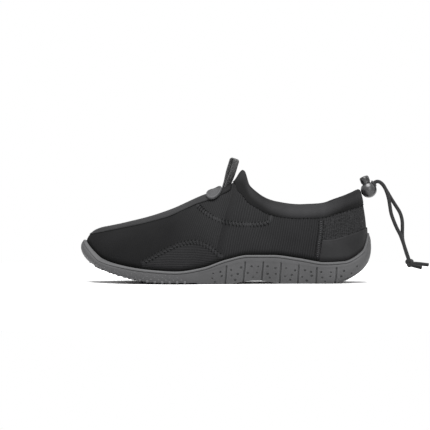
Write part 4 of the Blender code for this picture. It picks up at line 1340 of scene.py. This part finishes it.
# Dimples: small hollows in the panels between the grooves, on the sides and across the tread
DIMPLE_RADIUS = 0.0011
DIMPLE_SINK = 0.0001
SIDE_DIMPLES_FROM = 0.024
TREAD_DIMPLES_FROM = 0.030
SIDE_DIMPLES = ((0.26, 0.46), (0.70, 0.44), (0.30, 0.66), (0.74, 0.70), (0.50, 0.86))
TREAD_DIMPLES = ((0.3, -0.72), (0.7, -0.55), (0.34, -0.34), (0.68, -0.14), (0.34, 0.10),
                 (0.7, 0.28), (0.32, 0.50), (0.68, 0.70))
dimple_shape = lathe_shape("dimple_cutter", [(0.0001, -1.0), (0.72, -0.7), (1.0, 0.0), (0.8, 0.8),
                                             (0.0001, 1.0)], 8)
dimples = []
for side in (LATERAL, MEDIAL):
    for panel in range(-1, GROOVE_COUNT):
        for k, (across, share) in enumerate(SIDE_DIMPLES):
            along = GROOVE_START + GROOVE_PITCH * (panel + across)
            if along < SIDE_DIMPLES_FROM:
                continue
            point, run, normal = side_spot(side, along + 0.0012 * sin(panel * 2.3 + k * 1.7),
                                           share + 0.02 * sin(panel + k * 2.1))
            size = DIMPLE_RADIUS * (0.8 + 0.35 * ((panel * 3 + k * 2) % 4) / 3)
            dimples.append((point - normal * DIMPLE_SINK, run, normal, size))
for panel in range(-1, GROOVE_COUNT):
    for across, share in TREAD_DIMPLES:
        along = GROOVE_START + GROOVE_PITCH * (panel + across)
        if along < TREAD_DIMPLES_FROM:
            continue
        station = station_at(along)
        spot = edge_point(LATERAL, station).lerp(edge_point(MEDIAL, station), (share + 1) / 2)
        bent = along + (GROOVE_SWING * sin(pi * share)) * heel_fade(along)
        dimples.append(under_spot(bent, spot.y, share, DIMPLE_RADIUS * 1.15))
cutter = stamp("dimples", dimples, dimple_shape, rubber)
carve = outsole.modifiers.new("dimples", "BOOLEAN")
carve.operation = "DIFFERENCE"
carve.object = cutter
carve.solver = "EXACT"
settle(outsole)
bpy.data.objects.remove(cutter)
bpy.data.objects.remove(dimple_shape)
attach(outsole, "shoe")
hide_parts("outsole")

# Rings and studs of the forefoot tread, moulded with the sole
STUD_RADIUS = 0.00145
STUD_PITCH = 0.0072
STUD_TOP = 0.74
STUDS_FROM = 0.612 * SOLE_LENGTH
STUDS_TO = 0.952 * SOLE_LENGTH
SIDE_STUDS_FROM = 0.640 * SOLE_LENGTH
SIDE_STUDS_TO = 0.9405 * SOLE_LENGTH
RING_CENTRE = 0.8 * SOLE_LENGTH
EDGE_MARGIN = 0.003
SIDE_STUDS = ((0.94, 1.10), (0.74, 0.60), (0.54, 0.45), (0.36, 0.35))
INNER_STUDS = ((0.175, 0.0, 0.9), (0.205, 0.045, 1.3), (0.212, -0.03, 1.3), (0.243, 0.085, 1.3),
               (0.245, 0.01, 1.8), (0.247, -0.07, 1.3), (0.280, 0.105, 1.3), (0.277, 0.035, 1.8),
               (0.275, -0.045, 1.8), (0.277, -0.12, 1.3), (0.295, -0.01, 1.1), (0.300, 0.075, 1.1),
               (0.298, -0.165, 0.9))
RING_PROFILE = ((1.25, 1.5), (1.1, 0.4), (0.8, 0.06), (0.0, 0.0), (-0.8, 0.06), (-1.1, 0.4),
                (-1.25, 1.5))
stud_shape = lathe_shape("stud_shape", [(1.1, -0.6), (1.0, 0.1), (0.86, 0.45), (0.5, 0.68),
                                        (0.0001, STUD_TOP)], 9)


def ring_point(share, turn):
    """A point of a forefoot ring's middle line; share 0 is the outermost ring, 1 the innermost."""
    index = int(turn * len(RING))
    corners = []
    for offset in (-1, 0, 1, 2):
        outer_along, outer_across, inner_along, inner_across = RING[(index + offset) % len(RING)]
        along = outer_along + (inner_along - outer_along) * share
        across = outer_across + (inner_across - outer_across) * share
        corners.append(Vector((SOLE_LENGTH * (1 - along), BALL_WIDTH * across)))
    return curve_point(*corners, turn * len(RING) - index)


def in_ring(flat, share):
    """Whether a place under the sole lies inside a ring: flat is along and across."""
    corners = [ring_point(share, k / 48) for k in range(48)]
    inside = False
    for a, b in zip(corners, corners[1:] + corners[:1]):
        if (a.y > flat.y) != (b.y > flat.y):
            inside ^= flat.x < (b.x - a.x) * (flat.y - a.y) / (b.y - a.y) + a.x
    return inside


studs = []
row = 0
along = STUDS_FROM
while along < STUDS_TO:
    across = -0.5 * BALL_WIDTH - STUD_PITCH * (0.5 if row % 2 else 0)
    while across < 0.5 * BALL_WIDTH + 0.02:
        across += STUD_PITCH
        station = station_at(min(along, 0.94 * SOLE_LENGTH))
        left, right = edge_point(LATERAL, station), edge_point(MEDIAL, station)
        grown = Vector(((along - RING_CENTRE) * 0.93 + RING_CENTRE, across * 0.90))
        if not left.y + EDGE_MARGIN < across < right.y - EDGE_MARGIN or in_ring(grown, 0.0):
            continue
        share = (across - left.y) / (right.y - left.y) * 2 - 1
        studs.append(under_spot(along, across, share, STUD_RADIUS))
    row += 1
    along += STUD_PITCH * 0.72
for side in (LATERAL, MEDIAL):
    for row, (share, size) in enumerate(SIDE_STUDS):
        along = SIDE_STUDS_FROM + row * STUD_PITCH * 0.5
        while along < SIDE_STUDS_TO:
            point, run, normal = side_spot(side, along, share)
            point.z = max(point.z, STUD_RADIUS * size)
            studs.append((point, run, normal, STUD_RADIUS * size))
            along += STUD_PITCH * (1.0 if along < 0.9 * SOLE_LENGTH else 0.42)
for along, across, size in INNER_STUDS:
    spot = Vector((SOLE_LENGTH * (1 - along), BALL_WIDTH * across))
    if in_ring(spot, 1.0):
        sunk = max(STUD_TOP * STUD_RADIUS * size - TREAD_DEPTH, 0)
        studs.append(under_spot(spot.x, spot.y, 0, STUD_RADIUS * size, sunk))
tread_studs = stamp("tread_studs", studs, stud_shape, rubber)
bpy.data.objects.remove(stud_shape)
build = bmesh.new()
for count in range(RING_COUNT):
    share = count / (RING_COUNT - 1)
    rows = []
    for k in range(RING_STEPS):
        centre = ring_point(share, k / RING_STEPS)
        run = ring_point(share, (k + 0.5) / RING_STEPS) - ring_point(share, (k - 0.5) / RING_STEPS)
        across = Vector((run.y, -run.x)).normalized() * RING_WIDTH / 2
        height = ground(centre.x, 0)
        rows.append([place(*(centre + across * edge), height - TREAD_DEPTH * (1 - lift))
                     for edge, lift in RING_PROFILE])
    add_faces(build, rows, ring=True)
weld(build)
rings = keep_mesh("tread_rings", build, rubber, sharp=60)
for piece in (tread_studs, rings):
    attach(piece, "shoe")

# Insole
# A thin foam footbed with a knitted face, laid on the floor of the cup.
INSOLE_THICK = 0.0030
INSOLE_COLOUR = (0.030, 0.030, 0.032)

build = bmesh.new()
inset_by = UPPER_WALL + 2 * SEAT_GAP
for side in (LATERAL, MEDIAL):
    rows = []
    for station in [s for s in FINE if 0.3 < s < TOE - 0.3]:
        edges = []
        for each in (LATERAL, MEDIAL):
            foot = feather_point(each, station)
            inner = foot - skin_normal(each, station, 0) * inset_by
            edges.append(Vector((inner.x, inner.y, foot.z)) - outward(each, station) * SEAT_GAP)
        edge = edges[0] if side == LATERAL else edges[1]
        middle = (edges[0] + edges[1]) / 2
        row = [middle.lerp(edge, k / 8)
               + Vector((0, 0, INSOLE_THICK * (0.97 + 0.0004 * (k / 8) ** 4))) for k in range(9)]
        rows.append(row + [edge + Vector((0, 0, INSOLE_THICK * 0.5)), edge, middle])
    add_faces(build, rows, closed=False, flip=side == LATERAL)
weld(build, 1e-6, fill=True)
foam = Finish("footbed_knit", INSOLE_COLOUR, 0.95, Sheen_Weight=0.1)
loops = foam.cells(650.0)
foam.bump(loops, 0.0002)
foam.paint(foam.ramp(loops, 0.0, 0.6, 1.5, 0.6))
footbed = keep_mesh("footbed", build, foam.made)
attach(footbed, "shoe")
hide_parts("insole")

# Heel counter
# A smooth piece of coated stretch cloth around the back of the heel, above the rim of the sole.
COUNTER_HEIGHT = 0.0545
COUNTER_THICK = 0.0008
COUNTER_COLOUR = (0.0098, 0.0098, 0.0102)
COUNTER_END = 3.2

counter_lines = [s for s in FINE if s < COUNTER_END - 0.01] + [COUNTER_END]


@lru_cache(maxsize=None)
def counter_low(side, station):
    return rim_level(side, station, 3 * SEAT_GAP)


@lru_cache(maxsize=None)
def counter_high(side, station):
    return level_at(side, station, top("counter", station) * COUNTER_HEIGHT)


counter_face = [(k / 24, SEAT_GAP + COUNTER_THICK * rolled(1 - k / 24, 0.06, 0.2)
                 - 0.0002 * swell(k / 24 - 0.90, 0.05)) for k in range(25)]
counter_back = [(k / 4, SEAT_GAP) for k in range(5)]
# The heel patch takes painted shade where it goes down behind the sole's rim.
counter = sheet_over("heel_patch", counter_lines, counter_low, counter_high, counter_face,
                     counter_back, panel_finish("coated_jersey", COUNTER_COLOUR),
                     kind=lambda side, station, level, point: (0, 0, 0, foot_shade(station, point)))
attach(counter, "shoe")
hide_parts("heel_counter")

# Badge
# A small oval rubber badge, welded over the panel at the top of the instep: a raised rim around a
# plain sunk field.
BADGE_LENGTH = 0.0165
BADGE_WIDTH = 0.0240
BADGE_THICK = 0.0022
BADGE_LEAN = 0.0080
PANEL_TOP = 2.7 * SEAT_GAP + PANEL_THICK
BADGE_COLOUR = (0.026, 0.026, 0.0272)
BADGE_PROFILE = ((0.0, 0.62), (0.40, 0.60), (0.66, 0.58), (0.72, 0.60), (0.76, 0.92), (0.80, 1.0),
                 (0.90, 1.0), (0.96, 0.90), (0.99, 0.62), (1.0, 0.25), (1.0, 0.0), (0.5, 0.0),
                 (0.0, 0.0))


def ridge_place(station, offset, out):
    """A point over the ridge: offset runs along the face, negative towards the outer side."""
    side = LATERAL if offset < 0 else MEDIAL
    return skin(side, station, level_below_top(side, station, abs(offset)), out)


pace = (skin_point(MEDIAL, BADGE_STATION + 0.5, 1)
        - skin_point(MEDIAL, BADGE_STATION - 0.5, 1)).length
build = bmesh.new()
add_faces(build, [[ridge_place(BADGE_STATION + radius * c * BADGE_LENGTH / 2 / pace,
                               -BADGE_LEAN + radius * s * BADGE_WIDTH / 2,
                               PANEL_TOP + rise * BADGE_THICK) for c, s in circle(48)]
                  for radius, rise in BADGE_PROFILE])
weld(build, 1e-6)
badge = keep_mesh("badge_tab", build, rubber_finish("badge_rubber", BADGE_COLOUR), sharp=60)
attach(badge, "shoe")
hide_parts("badge")

# Pull loop
# Woven polyester webbing, folded over and sewn down in front of the throat.
LOOP_HEIGHT = 0.0237
LOOP_WIDTH = 0.0090
LOOP_THICK = 0.0013
LOOP_HOLE = 0.0034
LOOP_STATION = 7.72
LOOP_LEAN = radians(17)
LOOP_SPIN = radians(-35)
LOOP_RAISE = 0.0018
WEBBING_COLOUR = (0.0045, 0.0045, 0.0047)
WEBBING_PROFILE = ((-0.96, 1), (-0.5, 1), (0, 1), (0.5, 1), (0.96, 1), (1.0, 0.5), (1.0, -0.5),
                   (0.96, -1), (0.5, -1), (0, -1), (-0.5, -1), (-0.96, -1), (-1.0, -0.5),
                   (-1.0, 0.5))

base = skin(MEDIAL, LOOP_STATION, 1, PANEL_TOP + SEAT_GAP)
lean = Vector((sin(LOOP_LEAN), 0, cos(LOOP_LEAN)))
spin = Matrix.Rotation(LOOP_SPIN, 3, lean)
across = spin @ Vector((cos(LOOP_LEAN), 0, -sin(LOOP_LEAN)))
width = spin @ Vector((0, 1, 0)) * LOOP_WIDTH / 2
half = LOOP_HOLE / 2 + LOOP_THICK / 2
middle = []
for share in [-0.30, -0.15] + [k / 24 * 0.86 for k in range(25)]:
    swelling = 0.55 + 0.45 * sin(pi / 2 * clamp(share / 0.6))
    middle.append((-half * swelling, share * (LOOP_HEIGHT - half)))
for k in range(1, 20):
    angle = pi * k / 20
    middle.append((-half * cos(angle), LOOP_HEIGHT - half + half * sin(angle)))
middle += [(-x, y) for x, y in middle[:27][::-1]]
build = bmesh.new()
rows, places = [], []
walked = 0.0
for k, (x, y) in enumerate(middle):
    before, after = middle[max(k - 1, 0)], middle[min(k + 1, len(middle) - 1)]
    run = Vector((after[0] - before[0], after[1] - before[1])).normalized()
    side = Vector((-run.y, run.x)) * LOOP_THICK / 2
    point = base + lean * (LOOP_RAISE + y) + across * x
    shift = across * side.x + lean * side.y
    walked += (Vector(middle[k]) - Vector(middle[k - 1])).length if k else 0
    rows.append([point + width * w + shift * t for w, t in WEBBING_PROFILE])
    places.append([(w * LOOP_WIDTH / 2 + (0.02 if t < 0 else 0), walked)
                   for w, t in WEBBING_PROFILE])
add_faces(build, rows, places=places, capped=True)
weld(build)
webbing = Finish("webbing", WEBBING_COLOUR, 0.75, Sheen_Weight=0.1)
around, along = webbing.flat()
weave = webbing.times(webbing.wave(around, 0.0011), webbing.wave(along, 0.0009))
webbing.bump(weave, 0.00022)
webbing.paint(webbing.ramp(webbing.lifted(weave), 0.0, 1.0, 0.5, 2.6))
pull = keep_mesh("webbing_loop", build, webbing.made, sharp=70)
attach(pull, "shoe")
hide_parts("pull_loop")

# Cord lock
# A round toggle in two moulded parts: a satin ball with a mould line and a small collar for the
# cord, and the sprung plunger with its grooved cap.
LOCK_RADIUS = 0.0079
LOCK_TILT = radians(22)
BUTTON_RADIUS = 0.0040
BUTTON_CLEAR = 0.0003
BUTTON_CAP_RADIUS = 0.0047
BUTTON_CAP_LIFT = 0.0075
BUTTON_TOP = 0.0143
BUTTON_TRAVEL = 0.0030
LOCK_COLOUR = (0.015, 0.015, 0.0157)
# Ball and plunger are one plastic; the plunger's darker colour is painted shade
SHADED_PLUNGER_COLOUR = (0.006, 0.006, 0.0063)
BORE_FLOOR = -0.0023
BORE_CHAMFER = 0.0003
STEM_END = BUTTON_TRAVEL - 0.0015
MOUTH_RADIUS = 0.0038
MOUTH_WAY = Vector((0.77, 0, 0.64))

centre = skin(MEDIAL, 0, 0.95, BAND_PROUD + SEAT_GAP + LOCK_RADIUS)
tilt = Matrix.Rotation(-LOCK_TILT, 3, "Y")


def plastic_finish(name, colour):
    """Satin moulded plastic, lightly scuffed."""
    finish = Finish(name, colour, 0.38, Specular_IOR_Level=0.45)
    finish.bump(finish.noise(1600.0), 0.00001)
    scuff = finish.noise(180.0, 5.0, 0.7)
    finish.paint(finish.ramp(scuff, 0.3, 0.8, 0.93, 1.1))
    finish.gloss(scuff, 0.31, 0.37)
    return finish.made


def turned_piece(name, profile, around, finish):
    """A turned piece on the lock's axis, from radius and height pairs."""
    build = bmesh.new()
    add_faces(build, [[centre + tilt @ Vector((r * c, r * s, z)) for c, s in circle(around)]
                      for r, z in profile])
    weld(build, 1e-6)
    return keep_mesh(name, build, finish, sharp=45)


plastic = plastic_finish("satin_plastic", LOCK_COLOUR)
bore = BUTTON_CAP_RADIUS + BUTTON_CLEAR
start = sqrt(LOCK_RADIUS ** 2 - bore ** 2)
profile = [(0, BORE_FLOOR), (bore, BORE_FLOOR), (bore, start - BORE_CHAMFER),
           (bore + BORE_CHAMFER, start)]
for k in range(1, 41):
    angle = asin(start / LOCK_RADIUS) * (1 - k / 40) - pi / 2 * k / 40 - 0.04 * (1 - k / 40)
    line = 0.00012 * swell(LOCK_RADIUS * sin(angle) + 0.0002, 0.00035)
    profile.append(((LOCK_RADIUS - line) * cos(angle) if k < 40 else 0, LOCK_RADIUS * sin(angle)))
ball = turned_piece("toggle_ball", profile, 48, plastic)
cord_exit = Vector((STRAND_A[0][0], 0, STRAND_A[0][2]))
mouth = tube("toggle_mouth", [cord_exit - MOUTH_WAY * 0.0014, cord_exit + MOUTH_WAY * 0.0013],
             MOUTH_RADIUS, 32, plastic)
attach(mouth, "shoe")
# The plunger: a domed cap with a groove above its lower edge, on a plain stem
cap = BUTTON_CAP_RADIUS
profile = [(cap * share, BUTTON_TOP - drop) for share, drop in
           ((0, 0), (0.35, 0.00005), (0.62, 0.0002), (0.84, 0.0006), (0.95, 0.0012), (1, 0.0021))]
profile += [(cap - cut, BUTTON_CAP_LIFT + rise) for cut, rise in
            ((0, 0.0012), (0.0002, 0.0010), (0.0002, 0.0008), (0, 0.0006), (0.00005, 0.0002),
             (0.0004, 0))]
profile += [(BUTTON_RADIUS, BUTTON_CAP_LIFT), (BUTTON_RADIUS, STEM_END), (0, STEM_END)]
# The plunger's finish is a darker copy of the ball's plastic: painted shade
plunger = turned_piece("toggle_plunger", profile, 40,
                       plastic_finish("shaded_plunger_plastic", SHADED_PLUNGER_COLOUR))
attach(ball, "shoe")
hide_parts("cord_lock")
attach(plunger, "plunger")
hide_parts("lock_button")

# Floor and light
# A pale studio sweep under a wide soft box, a fill from the front and a low light behind the heel.
FLOOR_COLOUR = (0.74, 0.74, 0.743)
LIT_PLACE = Vector((-0.1, 0, 0.05))

floor_mesh = bpy.data.meshes.new("studio_floor")
floor_mesh.from_pydata([(-1.0, -0.8, 0), (0.8, -0.8, 0), (0.8, 0.5, 0), (-1.0, 0.5, 0)], [],
                       [(0, 1, 2, 3)])
floor_finish = Finish("studio_paper", FLOOR_COLOUR, 0.9)
floor_mesh.materials.append(floor_finish.made)
floor = put("studio_floor", floor_mesh)

bpy.context.scene.view_settings.view_transform = "Standard"
world = bpy.data.worlds.new("studio")
world.use_nodes = True
background = world.node_tree.nodes["Background"]
background.inputs["Color"].default_value = (1, 1, 1, 1)
background.inputs["Strength"].default_value = 1.0
bpy.context.scene.world = world

for name, spot, size, power in (("soft_box", (-0.15, -0.45, 1.3), 0.9, 46.0),
                                ("front_fill", (0.3, -1.3, 0.5), 0.8, 8.0),
                                ("heel_light", (0.8, 0.2, 0.6), 0.5, 2.0)):
    light = bpy.data.lights.new(name, "AREA")
    light.size = size
    light.energy = power
    lamp = put(name, light)
    lamp.location = spot
    lamp.rotation_euler = (LIT_PLACE - Vector(spot)).to_track_quat("-Z", "Y").to_euler()
